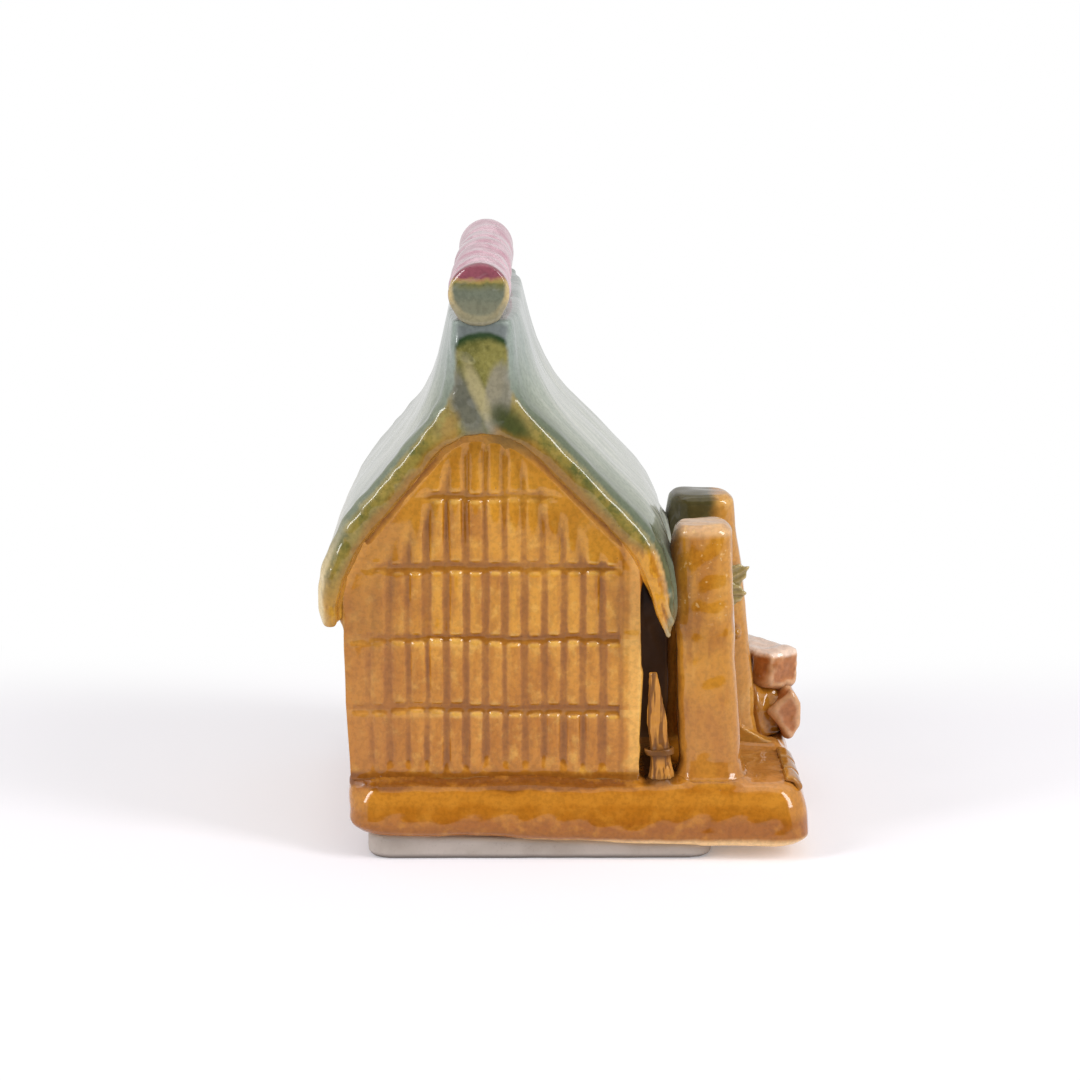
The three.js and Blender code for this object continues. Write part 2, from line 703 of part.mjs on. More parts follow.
// Ribs of the doorstep, which wrap the base's rounded front edge
function stepRib(y) {
  const steps = 4;
  const arc = (outside) =>
    Array.from({ length: steps + 1 }, (_, step) => {
      const { inset, height } = baseEdge(Math.PI / 2 - (step / steps) * RIB_WRAP, outside);
      return [baseFront - inset, height];
    });
  const under = arc(2 * LUTE_GAP);
  const over = arc(2 * LUTE_GAP + RIB_T);
  const start = under[0][0] - RIB_LENGTH;
  const outline = [[start, under[0][1]], ...under, ...over.reverse(), [start, over.at(-1)[1]]];
  return pulledAlongY(outline, y - RIB_W / 2, y + RIB_W / 2);
}

addPiece("foot_slab", footSlab(), BARE_CLAY);
addPiece("base_slab", baseSlab(), AMBER);

addPiece("near_gable_wall", geometryOf(gableWall(0, REAR_BEAD_W, PORCH_BEAD_W)), AMBER);
addPiece("far_gable_wall", geometryOf(gableWall(2 * quarterTurn, PORCH_BEAD_W, REAR_BEAD_W)), AMBER);
addPiece("back_wall", geometryOf(sideWall(-quarterTurn, wallBack)), AMBER);
addPiece("front_wall", geometryOf(frontWall()), DARK_AMBER);

addPiece("roof_porch_slope", geometryOf(roofSlab(PORCH_SLOPE)), CELADON);
addPiece("roof_rear_slope", geometryOf(roofSlab(REAR_SLOPE)), CELADON);
addPiece("ridge_roll", ridgeRoll(0), ROSE);

for (const [gableName, gable] of [["near", -1], ["far", 1]]) {
  addPiece(`${gableName}_porch_verge_coil`, vergeCoil(PORCH_SLOPE, gable), AMBER);
  addPiece(`${gableName}_rear_verge_coil`, vergeCoil(REAR_SLOPE, gable), AMBER);
}

addPiece("near_post", nearPost(), AMBER);
addPiece("far_post", geometryOf(farPost()), AMBER);
addPiece("porch_screen", porchScreen(), DARK_AMBER);

const sheaf = new THREE.Group();
const sheafY = nearPostY - POST_DEPTH / 2 + SHEAF_SETBACK;
sheaf.position.set(wallFront + SHEAF_FROM_WALL, sheafY, floorZ + 2 * LUTE_GAP);
sheaf.rotation.y = -SHEAF_LEAN;
hut.add(sheaf);
addPiece("straw_sheaf", strawSheaf(), STRAW, sheaf);
addPiece("sheaf_band", sheafBand(), DARK_AMBER, sheaf);

const pileX = baseFront + PILE_OVERHANG - LOG_R;
const pileY = farPostFace + ROOT_W + LOG_GAP;
const behindPostY = farPostY + POST_DEPTH / 2 + LOG_GAP;
const nextLog = LOG_R + 2 * LOG_GAP;
const lowerLog = splitLog(LOWER_SPLIT_ANGLES, LOG_R, LOG_LENGTH);
const upperLog = splitLog(UPPER_SPLIT_ANGLES, UPPER_LOG_R, UPPER_LOG_LENGTH);
const backLog = () => splitLog(BACK_SPLIT_ANGLES, LOG_R, LOG_LENGTH);
const upperZ = floorZ + heightOf(lowerLog) + LUTE_GAP;
addLog("split_log_1", lowerLog, pileX, pileY, floorZ, LOWER_LOG_YAW);
addLog("split_log_2", upperLog, pileX, pileY + UPPER_LOG_SETBACK, upperZ, UPPER_LOG_YAW);
addLog("split_log_3", backLog(), pileX - nextLog, behindPostY, floorZ, 0);
addLog("split_log_4", backLog(), pileX - 2 * nextLog, behindPostY, floorZ, 0);

const sprig = new THREE.Group();
const sprigX = farPostLeft + FAR_POST_TOP_W - SPRIG_FROM_SIDE;
sprig.position.set(sprigX, farPostFace - LUTE_GAP, baseTop + SPRIG_H);
hut.add(sprig);
const leaves = [
  [UPPER_LEAF_LENGTH, UPPER_LEAF_TURN],
  [MIDDLE_LEAF_LENGTH, MIDDLE_LEAF_TURN],
  [LOWER_LEAF_LENGTH, LOWER_LEAF_TURN],
];
leaves.forEach(([length, turn], layer) => {
  const blade = addPiece(`sprig_leaf_${layer + 1}`, leaf(length), OLIVE, sprig);
  blade.position.y = -layer * (LEAF_T + LUTE_GAP);
  blade.rotation.y = -turn;
});
const stemDirection = new THREE.Vector3(Math.cos(STEM_TURN), 0, Math.sin(STEM_TURN));
const stemRod = new THREE.CylinderGeometry(STEM_R, STEM_R, STEM_LENGTH, 10);
const stem = addPiece("sprig_stem", stemRod, OLIVE, sprig);
stem.quaternion.setFromUnitVectors(new THREE.Vector3(0, 1, 0), stemDirection);
stem.position.copy(stemDirection).multiplyScalar(STEM_START + STEM_LENGTH / 2);
stem.position.y = -STEM_R;
const berry = addPiece("sprig_berry", new THREE.SphereGeometry(BERRY_R, 14, 10), AMBER, sprig);
berry.position.copy(stemDirection).multiplyScalar(STEM_START + STEM_LENGTH + LUTE_GAP + BERRY_R);
berry.position.y = -BERRY_R;

for (let i = 0; i < RIB_COUNT; i++) {
  const firstY = BASE_CORNER_R + RIB_W / 2 - baseDepth / 2;
  addPiece(`step_rib_${i + 1}`, stepRib(firstY + i * RIB_PITCH), AMBER);
}

export default hut;
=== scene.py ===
import math

import bmesh
import bpy
import numpy as np
from mathutils import Matrix, Vector, geometry
from mathutils.bvhtree import BVHTree


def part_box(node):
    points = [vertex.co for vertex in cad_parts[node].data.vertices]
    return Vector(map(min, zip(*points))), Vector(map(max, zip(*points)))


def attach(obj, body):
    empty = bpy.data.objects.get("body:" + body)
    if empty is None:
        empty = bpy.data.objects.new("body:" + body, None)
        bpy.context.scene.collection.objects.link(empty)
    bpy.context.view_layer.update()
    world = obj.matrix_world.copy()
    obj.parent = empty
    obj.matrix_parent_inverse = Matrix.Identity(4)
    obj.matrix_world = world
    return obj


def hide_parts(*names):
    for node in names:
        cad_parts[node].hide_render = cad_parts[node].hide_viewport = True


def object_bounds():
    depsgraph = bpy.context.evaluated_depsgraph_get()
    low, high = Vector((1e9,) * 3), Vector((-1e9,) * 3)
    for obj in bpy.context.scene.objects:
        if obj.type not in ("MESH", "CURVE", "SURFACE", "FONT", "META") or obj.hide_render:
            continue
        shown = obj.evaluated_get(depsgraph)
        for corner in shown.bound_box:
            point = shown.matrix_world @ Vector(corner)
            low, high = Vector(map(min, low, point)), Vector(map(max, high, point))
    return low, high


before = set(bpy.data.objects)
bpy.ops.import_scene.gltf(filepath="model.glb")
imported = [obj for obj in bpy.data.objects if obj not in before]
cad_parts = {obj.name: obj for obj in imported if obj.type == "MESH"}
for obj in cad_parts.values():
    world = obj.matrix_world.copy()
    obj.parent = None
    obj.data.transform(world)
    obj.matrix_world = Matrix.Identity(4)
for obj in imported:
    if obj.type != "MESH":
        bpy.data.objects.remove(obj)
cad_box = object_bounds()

# A hand-built hut of glazed earthenware. Lengths are in millimetres and become metres where a mesh is made.
MM = 0.001
BODY = "root"

# Sizes and places of the solids that the skins and the glazes follow
BASE_TOP = 8.9
WALL_FOOT = 9.0
WALL_T = 2.8
RELIEF = 0.55
BATTEN_PITCH = 2.21
BATTEN_W = 1.6
ROW_PITCH = 8.28
ROW_GROOVE = 1.0
BATTEN_WAVER = 0.36
BEAD_SET_BACK = 0.15
DOOR_SIDES = (-13.4, -5.4)
DOOR_TOP = 26.5
RIDGE_X = -6.35
ROOF_RIM_Y = 23.0
ROOF_NODES = ("roof_porch_slope", "roof_rear_slope")
COILS = tuple(f"{end}_{slope}_verge_coil" for end in ("near", "far") for slope in ("porch", "rear"))


# Sums on sockets, and one way to make any node

class Socket:
    """A node's output that Python's operators work on."""

    def __init__(self, bench, output):
        self.bench = bench
        self.output = output

    def __add__(self, other):
        return self.bench.math("ADD", self, other)

    __radd__ = __add__

    def __sub__(self, other):
        return self.bench.math("SUBTRACT", self, other)

    def __rsub__(self, other):
        return self.bench.math("SUBTRACT", other, self)

    def __mul__(self, other):
        return self.bench.math("MULTIPLY", self, other)

    __rmul__ = __mul__

    def __truediv__(self, other):
        return self.bench.math("DIVIDE", self, other)

    def __abs__(self):
        return self.bench.math("ABSOLUTE", self)


class Bench:
    """A node tree under construction."""

    def __init__(self, tree):
        self.tree = tree

    def node(self, kind, settings=None, sockets=None, out=0):
        made = self.tree.nodes.new(kind)
        for key, value in (settings or {}).items():
            setattr(made, key, value)
        for key, value in (sockets or {}).items():
            if isinstance(value, Socket):
                self.tree.links.new(value.output, made.inputs[key])
            else:
                made.inputs[key].default_value = value
        return Socket(self, made.outputs[out]) if made.outputs else made

    def math(self, operation, a, b=0.0):
        return self.node("ShaderNodeMath", {"operation": operation}, {0: a, 1: b})

    def vector(self, operation, a, b):
        key = "Scale" if operation == "SCALE" else 1
        return self.node("ShaderNodeVectorMath", {"operation": operation}, {0: a, key: b})


class Glaze(Bench):
    """The node tree of one glaze, with a point's place in millimetres."""

    def __init__(self, name):
        self.material = bpy.data.materials.new(name)
        self.material.use_nodes = True
        self.material.node_tree.nodes.clear()
        super().__init__(self.material.node_tree)
        local = self.node("ShaderNodeTexCoord", out="Object")
        self.place = self.vector("SCALE", local, 1 / MM)
        self.x, self.y, self.z = (
            self.node("ShaderNodeSeparateXYZ", None, {0: self.place}, out=axis) for axis in range(3)
        )

    def measure(self, name):
        return self.node("ShaderNodeAttribute", {"attribute_name": name}, out="Fac")

    def step(self, value, low, high):
        """0 below low, 1 above high and soft between them."""
        return self.node(
            "ShaderNodeMapRange",
            {"interpolation_type": "SMOOTHSTEP"},
            {0: value, 1: low, 2: high, 3: 0.0, 4: 1.0},
        )

    def fade(self, value, low, high):
        """1 below low, 0 above high and soft between them."""
        return 1 - self.step(value, low, high)

    def mottle(self, size, detail=3.0, stretch=(1.0, 1.0, 1.0), shift=0.0):
        """Cloudy variation from 0 to 1 whose patches are about size millimetres across."""
        where = self.node(
            "ShaderNodeMapping",
            None,
            {"Vector": self.place, "Location": (shift, shift, shift), "Scale": stretch},
        )
        sockets = {"Vector": where, "Scale": 1 / size, "Detail": detail, "Roughness": 0.55}
        return self.node("ShaderNodeTexNoise", None, sockets)

    def specks(self, pitch, radius):
        """Small round dots, 1 inside and 0 outside."""
        cell = self.node("ShaderNodeTexVoronoi", None, {"Vector": self.place, "Scale": 1 / pitch})
        return self.fade(cell * pitch, radius * 0.5, radius)

    def blend(self, share, a, b):
        """Colour a where share is 0 and colour b where it is 1."""
        ends = {6: a, 7: b}
        colours = {key: (*end, 1.0) if isinstance(end, tuple) else end for key, end in ends.items()}
        return self.node("ShaderNodeMix", {"data_type": "RGBA"}, {0: share, **colours}, out=2)

    def shade(self, share, colour, depth):
        """The colour darkened by up to depth where share is 1."""
        return self.node(
            "ShaderNodeMix",
            {"data_type": "RGBA", "blend_type": "MULTIPLY"},
            {0: share * depth, 6: colour, 7: (0.0, 0.0, 0.0, 1.0)},
            out=2,
        )

    def bump(self, height, distance, under=None):
        sockets = {"Height": height, "Distance": distance * MM}
        if under:
            sockets["Normal"] = under
        return self.node("ShaderNodeBump", None, sockets)

    def finish(self, colour, roughness, normal, specular=0.5):
        shader = self.node(
            "ShaderNodeBsdfPrincipled",
            None,
            {"Base Color": colour, "Roughness": roughness, "Normal": normal, "Specular IOR Level": specular},
        )
        self.node("ShaderNodeOutputMaterial", None, {"Surface": shader})
        return self.material


# Glazes

AMBER_THIN = (0.72, 0.37, 0.07)
AMBER = (0.52, 0.215, 0.022)
AMBER_DEEP = (0.27, 0.088, 0.010)
ROSE_THIN = (0.72, 0.48, 0.54)
ROSE = (0.53, 0.25, 0.32)
ROSE_DEEP = (0.27, 0.078, 0.105)
# Near-black painted shade for the screen in the porch's dark gap
PAINTED_SHADE_BROWN = (0.060, 0.026, 0.010)


def glassy(glaze, colour, ripple=0.012, dull=0.0, specular=0.5):
    """The gloss that all glazes share: a faint ripple, pinholes and a few fine specks."""
    pin = glaze.specks(2.3, 0.085)
    colour = glaze.shade(pin, colour, 0.45)
    colour = glaze.shade(glaze.step(glaze.mottle(0.5, 3.0, shift=11.0), 0.40, 0.66), colour, 0.16)
    skin = glaze.bump(glaze.mottle(1.6, 2.0), ripple)
    normal = glaze.bump(1 - pin, 0.02, skin)
    roughness = 0.045 + 0.07 * glaze.mottle(4.0, 4.0, shift=9.0) + dull
    return glaze.finish(colour, roughness, normal, specular)


def pooled(glaze, thin, body, deep, seam_reach=0.9):
    """Glaze that breaks pale over edges and lies deep in hollows and along the joints."""
    cloud = glaze.mottle(3.2, 4.0)
    hollow = glaze.measure("hollow") + 0.10 * (cloud - 0.5)
    seam = glaze.measure("seam") + 0.5 * (cloud - 0.5)
    crest = glaze.fade(hollow, -0.10, 0.0)
    pool = glaze.step(hollow, 0.03, 0.17)
    joint = glaze.fade(seam, 0.1, seam_reach)
    colour = glaze.blend(crest * 0.75, body, thin)
    colour = glaze.blend(pool * 0.85, colour, deep)
    return glaze.blend(joint * 0.75, colour, deep)


def shaded_glaze(name, thin, body, deep):
    """Dark glaze with the porch's shade painted into its colours, thinner and less glassy."""
    glaze = Glaze(name)
    colour = pooled(glaze, thin, body, deep)
    normal = glaze.bump(glaze.mottle(0.8, 3.0), 0.03)
    return glaze.finish(colour, 0.22 + 0.2 * glaze.mottle(2.0, 3.0), normal, 0.25)


def amber_glaze(name, thin=AMBER_THIN, body=AMBER, deep=AMBER_DEEP):
    glaze = Glaze(name)
    patches = glaze.step(glaze.mottle(7.0, 3.0, shift=4.0), 0.4, 0.62)
    warm = glaze.blend(patches, body, tuple(0.8 * value for value in body))
    return glassy(glaze, pooled(glaze, thin, warm, deep))


def gable_glaze(name):
    """Amber that is thin on the battens, and a little darker and pinker low down."""
    glaze = Glaze(name)
    low = glaze.fade(glaze.z + 6 * (glaze.mottle(9.0, 2.0) - 0.5), 12.0, 32.0)
    drift = glaze.step(glaze.mottle(5.0, 3.0, (1.0, 1.0, 0.6), shift=4.0), 0.42, 0.66)
    cloud = glaze.mottle(1.8, 4.0, shift=2.0)
    row = glaze.math("FRACT", (glaze.z - WALL_FOOT) * (1 / ROW_PITCH))
    bar = glaze.blend(low * 0.7, (0.64, 0.285, 0.026), (0.52, 0.192, 0.026))
    bar = glaze.blend(drift * 0.65, bar, (0.41, 0.140, 0.008))
    runs = glaze.step(glaze.mottle(1.5, 3.0, (1.0, 1.0, 0.2), shift=6.0), 0.44, 0.62)
    pressed = glaze.measure("relief")
    runs = runs * glaze.step(row, 0.15, 0.55) * glaze.fade(row, 0.86, 0.93)
    bar = glaze.blend(runs * 0.6 * pressed, bar, (0.40, 0.132, 0.007))
    heads = glaze.step(row + 0.1 * (cloud - 0.5), 0.86, 0.92) * pressed
    bar = glaze.blend(heads * 0.5, bar, (0.82, 0.48, 0.12))
    bar = glaze.blend(glaze.step(cloud, 0.5, 0.72) * 0.5, bar, (0.76, 0.42, 0.080))
    ends = glaze.fade(glaze.measure("hollow") + 0.08 * (cloud - 0.5), -0.15, -0.05)
    bar = glaze.blend(ends * 0.75, bar, (0.80, 0.50, 0.13))
    # The grooves are dark with pooled glaze, deepened with painted shade
    trough = glaze.blend(low * 0.6, (0.30, 0.098, 0.009), (0.27, 0.092, 0.014))
    trough = glaze.blend(glaze.step(cloud, 0.35, 0.7) * 0.5, trough, (0.42, 0.15, 0.012))
    between_rows = glaze.step(abs(row - 0.5), 0.435, 0.465)
    trough = glaze.blend(between_rows * 0.7, trough, (0.21, 0.060, 0.006))
    depth = glaze.measure("groove") + 0.5 * (glaze.mottle(1.1, 2.0, shift=5.0) - 0.5)
    colour = glaze.blend(glaze.step(depth, 0.30, 0.85) * 0.85, bar, trough)
    colour = glaze.blend(glaze.fade(glaze.x, -18.5, -13.0) * 0.45, colour, (0.40, 0.150, 0.030))
    colour = glaze.blend(glaze.step(glaze.z, 39.0, 45.0) * 0.4, colour, (0.80, 0.37, 0.042))
    smooth_peak = (1 - pressed) * glaze.step(glaze.z, 30.0, 33.0)
    colour = glaze.blend(smooth_peak * 0.35, colour, (0.80, 0.37, 0.050))
    bead = glaze.x + 0.4 * (cloud - 0.5)
    beside = glaze.step(bead, 8.7, 9.1) * glaze.fade(bead, 9.3, 9.7)
    colour = glaze.blend(beside * 0.5, colour, (0.30, 0.10, 0.010))
    colour = glaze.blend(glaze.step(bead, 9.8, 10.4) * 0.65, colour, (0.86, 0.46, 0.10))
    foot = glaze.fade(glaze.z + 0.8 * (cloud - 0.5), 9.5, 10.3)
    return glassy(glaze, glaze.blend(foot * 0.85, colour, (0.20, 0.060, 0.006)))


def base_glaze(name):
    """Amber, thin on the slab's rim and its lowest edge, with a painted sheen along the rim,
    and painted shade in the corner behind the near post.
    """
    glaze = Glaze(name)
    colour = pooled(glaze, (0.62, 0.27, 0.035), (0.42, 0.145, 0.010), (0.24, 0.075, 0.008), 1.1)
    cloud = glaze.mottle(2.2, 4.0, shift=3.0)
    broad = glaze.mottle(4.0, 4.0, shift=12.0)
    rise = glaze.z + 1.4 * (broad - 0.5) + 0.5 * (cloud - 0.5)
    # A lighter band along the rounded top edge: thin glaze with a painted sheen of the light from above
    crest = glaze.step(rise, 6.3, 7.0) * glaze.fade(rise, 7.6, 8.1)
    colour = glaze.blend(crest * 0.6, colour, (0.55, 0.22, 0.022))
    ledge = glaze.step(rise, 8.0, 8.5) * glaze.fade(glaze.x, 10.0, 11.5)
    colour = glaze.blend(ledge * 0.85, colour, (0.20, 0.058, 0.005))
    side = glaze.fade(rise, 4.2, 5.8)
    colour = glaze.blend(side * 0.8, colour, (0.30, 0.088, 0.008))
    colour = glaze.blend(glaze.step(cloud, 0.5, 0.68) * 0.4, colour, (0.58, 0.24, 0.026))
    low = glaze.fade(glaze.z + 0.5 * (cloud - 0.5), 2.2, 3.0)
    colour = glaze.blend(low * 0.95, colour, (0.92, 0.60, 0.27))
    porch = glaze.step(glaze.x + 1.5 * (cloud - 0.5), 21.5, 24.0) * glaze.step(glaze.z, 7.8, 8.4)
    colour = glaze.blend(porch * 0.8, colour, (0.56, 0.24, 0.055))
    # Painted shade: near-black in the corner behind the near post, inside the porch's dark gap
    corner = glaze.step(glaze.x, 11.2, 12.4) * glaze.fade(glaze.x, 14.8, 16.2)
    corner = corner * glaze.fade(abs(glaze.y + 12.0), 8.5, 9.8)
    back = glaze.fade(glaze.x, -20.8, -19.6) * glaze.step(glaze.z, 7.9, 8.4)
    return glassy(glaze, glaze.blend(corner * 0.9, colour, (0.075, 0.028, 0.008)), dull=0.4 * back)


def verge_glaze(name):
    """Amber that is darker under the rim and turns olive towards the peak."""
    glaze = Glaze(name)
    cloud = glaze.mottle(2.4, 4.0, shift=1.0)
    colour = glaze.blend(glaze.step(cloud, 0.42, 0.66) * 0.6, (0.70, 0.32, 0.030), (0.48, 0.170, 0.010))
    joint = glaze.fade(glaze.measure("roof_gap") + 0.6 * (cloud - 0.5), 0.3, 1.3)
    peak = glaze.step(glaze.z + 1.5 * (cloud - 0.5), 45.5, 48.5)
    colour = glaze.blend(joint * (1 - peak) * 0.85, colour, (0.20, 0.062, 0.006))
    colour = glaze.blend(peak * 0.5, colour, (0.42, 0.21, 0.040))
    greener = peak * glaze.step(glaze.x - RIDGE_X + 1.5 * (cloud - 0.5), -0.5, 2.5)
    return glassy(glaze, glaze.blend(greener * 0.6, colour, (0.12, 0.095, 0.022)), specular=0.25)


def blot(glaze, across, up, wide, tall, lean, softness):
    """1 inside a leaning oval on the gable ends, at a place across from the ridge and up."""
    rise = glaze.z - up
    reach = (glaze.x - RIDGE_X - across - lean * rise) / wide
    rise = rise / tall
    ragged = 0.7 * (glaze.mottle(0.8, 4.0, (1.0, 1.0, 0.5), shift=across) - 0.5)
    return glaze.fade(reach * reach + rise * rise + ragged, 1 - softness, 1 + softness)


# Ovals on the neck: the two grey lobes are painted reflections of the floor, the two dark green ones
# painted shade in the inner corner. Each: how far across from the ridge and how high up, half the width
# and the height, the lean, how soft the edge is, how much it covers, and its colour
NECK_OVALS = (
    (-1.9, 52.9, 1.5, 4.2, -0.36, 0.8, 0.9, (0.135, 0.135, 0.108)),
    (1.75, 53.3, 1.5, 4.1, 0.12, 0.35, 0.95, (0.235, 0.220, 0.165)),
    (-0.45, 54.2, 0.85, 3.2, -0.38, 0.95, 0.85, (0.42, 0.36, 0.19)),
    (1.4, 55.0, 0.9, 2.2, 0.12, 0.9, 0.5, (0.33, 0.29, 0.19)),
    (3.0, 50.5, 1.7, 2.1, -0.5, 0.95, 0.95, (0.055, 0.066, 0.020)),
    (4.8, 48.8, 1.5, 1.3, -0.6, 0.9, 0.8, (0.070, 0.080, 0.022)),
    (-3.5, 50.2, 0.9, 1.6, 0.3, 0.95, 0.4, (0.40, 0.21, 0.06)),
)


def neck_colour(glaze, cloud):
    """The pinched end of the ridge: green with a band of painted shade under the roll, olive below,
    and two milky lobes in a V that are painted reflections of the floor.
    """
    across = glaze.x - RIDGE_X
    arch = glaze.z + 0.13 * across * across + 0.5 * (cloud - 0.5)
    colour = glaze.blend(glaze.step(cloud, 0.36, 0.62), (0.24, 0.215, 0.062), (0.12, 0.115, 0.030))
    colour = glaze.blend(glaze.step(abs(across), 2.2, 3.6) * 0.6, colour, (0.36, 0.26, 0.09))
    dapple = glaze.step(glaze.mottle(0.8, 4.0, shift=2.0), 0.44, 0.66)
    colour = glaze.blend(dapple * 0.4, colour, (0.33, 0.30, 0.10))
    for *oval, share, tint in NECK_OVALS:
        colour = glaze.blend(blot(glaze, *oval) * share, colour, tint)
    foot = glaze.fade(arch + 1.2 * (cloud - 0.5), 49.6, 51.4) * glaze.step(abs(across + 0.6), 1.0, 2.6)
    colour = glaze.blend(foot * 0.55, colour, (0.40, 0.19, 0.030))
    colour = glaze.blend(glaze.step(arch, 59.4, 60.5), colour, (0.026, 0.052, 0.018))
    # Painted shade: a blue-grey band right under the roll
    return glaze.blend(glaze.step(arch, 60.5, 61.0), colour, (0.14, 0.16, 0.155))


def roof_glaze(name):
    """Celadon that ran down the slopes in streaks, green at the rims and amber along the eaves."""
    glaze = Glaze(name)
    skin = glaze.measure("skin_depth")
    from_rim = ROOF_RIM_Y - abs(glaze.y)
    streak = glaze.mottle(1.3, 3.0, (0.12, 1.0, 0.12))
    broad = glaze.mottle(5.0, 2.0, (0.3, 1.0, 0.3), shift=3.0)
    green = glaze.fade(from_rim + 6.0 * (broad - 0.5), 0.6, 14.0)
    high = glaze.step(glaze.z, 50.0, 60.0)
    cover = glaze.blend(glaze.step(streak, 0.38, 0.62) * 0.5, (0.60, 0.61, 0.52), (0.30, 0.35, 0.30))
    cover = glaze.blend(green * 0.75, cover, (0.17, 0.205, 0.125))
    dark = glaze.fade(from_rim + 3.0 * (broad - 0.5), 0.5, 6.5)
    dark = dark * (0.45 + 0.4 * glaze.step(glaze.x, -8.0, -4.0))
    cover = glaze.blend(dark * (1 - high), cover, (0.075, 0.10, 0.045))
    cover = glaze.blend(high * 0.6, cover, (0.26, 0.32, 0.31))
    eave = glaze.fade(glaze.z + 3.0 * (broad - 0.5) + 0.28 * glaze.x, 25.0, 34.5)
    cover = glaze.blend(eave * 0.9, cover, (0.78, 0.60, 0.32))
    cloud = glaze.mottle(2.0, 5.0, shift=6.0)
    edge = glaze.blend(glaze.step(cloud, 0.40, 0.62), (0.27, 0.205, 0.045), (0.118, 0.122, 0.032))
    dapple = glaze.step(glaze.mottle(0.9, 4.0, shift=15.0), 0.50, 0.68)
    edge = glaze.blend(dapple * 0.4, edge, (0.42, 0.29, 0.085))
    inner = glaze.step(skin + 1.6 * (cloud - 0.5), 1.4, 2.7)
    edge = glaze.blend(inner * 0.75, edge, (0.36, 0.150, 0.014))
    flap = glaze.fade(glaze.z + 2.0 * (cloud - 0.5), 35.5, 38.0) * glaze.step(glaze.x, 0.0, 2.0)
    ragged = glaze.step(glaze.mottle(0.8, 3.0, (1.0, 1.0, 0.4), shift=13.0), 0.46, 0.62)
    amber = glaze.blend(ragged * 0.6, (0.66, 0.30, 0.028), (0.38, 0.125, 0.008))
    low = glaze.fade(glaze.z + 3.0 * (broad - 0.5) + 0.12 * glaze.x, 25.0, 33.0) * 0.7
    edge = glaze.blend(glaze.math("MAXIMUM", low, flap), edge, amber)
    cover = glaze.blend(flap * eave * 0.8, cover, amber)
    neck = glaze.step(glaze.z + 1.5 * (cloud - 0.5), 47.6, 50.0)
    neck = neck * glaze.fade(abs(glaze.x - RIDGE_X), 4.6, 6.5)
    edge = glaze.blend(neck, edge, neck_colour(glaze, cloud))
    # Painted shade: the same blue-grey under the roll on the slopes' ends
    under_roll = glaze.step(glaze.z, 60.2, 61.2) * glaze.step(abs(glaze.y), 22.0, 22.7)
    cover = glaze.blend(under_roll * 0.8, cover, (0.13, 0.15, 0.145))
    colour = glaze.blend(glaze.step(skin, 0.12, 0.7), cover, edge)
    hollow = glaze.measure("hollow")
    crest = glaze.fade(hollow, -0.14, -0.02) * glaze.fade(skin, 0.5, 1.2) * (1 - high)
    colour = glaze.blend(crest * 0.25, colour, (0.60, 0.54, 0.34))
    colour = glaze.shade(glaze.step(hollow, 0.02, 0.2), colour, 0.35)
    shaded = glaze.step(glaze.z, 59.6, 60.8) * glaze.step(abs(glaze.y), 20.5, 22.0)
    return glassy(glaze, colour, dull=0.35 * shaded)


def rose_glaze(name, centre, radius, rim_y):
    """Rose over the roll's top, ending in a ragged lip on its ends over a grey-green painted reflection."""
    glaze = Glaze(name)
    cloud = glaze.mottle(2.6, 4.0)
    body = glaze.blend(glaze.step(cloud, 0.35, 0.65) * 0.8, ROSE_THIN, ROSE)
    bands = glaze.step(glaze.mottle(2.8, 2.0, (0.7, 1.4, 0.7), shift=5.0), 0.5, 0.75)
    body = glaze.blend(bands * 0.25, body, ROSE_DEEP)
    at_end = glaze.step(abs(glaze.y), rim_y - 0.9, rim_y - 0.35)
    rise = glaze.z - centre.z + 1.2 * (glaze.mottle(1.6, 3.0, shift=2.0) - 0.5)
    near_end = glaze.step(abs(glaze.y), rim_y - 2.2, rim_y - 0.6)
    body = glaze.blend(near_end, body, ROSE_DEEP)
    # Grey-green on the ends below the lip is a painted reflection
    under = glaze.blend(glaze.step(rise, -0.4, 1.0), (0.165, 0.18, 0.13), (0.17, 0.16, 0.05))
    across = glaze.x - centre.x
    spread = glaze.math("SQRT", across * across + rise * rise)
    ring = glaze.step(spread + 0.3 * (cloud - 0.5), radius - 0.75, radius - 0.25)
    ring = ring * (0.45 + 0.55 * glaze.step(rise, -3.4, -1.2))
    under = glaze.blend(ring, under, (0.60, 0.46, 0.23))
    lip = at_end * glaze.fade(rise, 0.85, 1.15)
    lip_line = at_end * glaze.step(rise, 0.6, 0.9) * glaze.fade(rise, 1.1, 1.4)
    # The roll's lower half takes the same painted grey-green reflection
    below = glaze.fade(rise, -2.0, -0.6)
    colour = glaze.blend(lip, body, under)
    colour = glaze.blend(lip_line * 0.5, colour, (0.50, 0.34, 0.11))
    colour = glaze.blend(below * 0.6, colour, (0.22, 0.21, 0.14))
    return glassy(glaze, glaze.shade(glaze.step(glaze.measure("hollow"), 0.01, 0.1), colour, 0.3), 0.008)


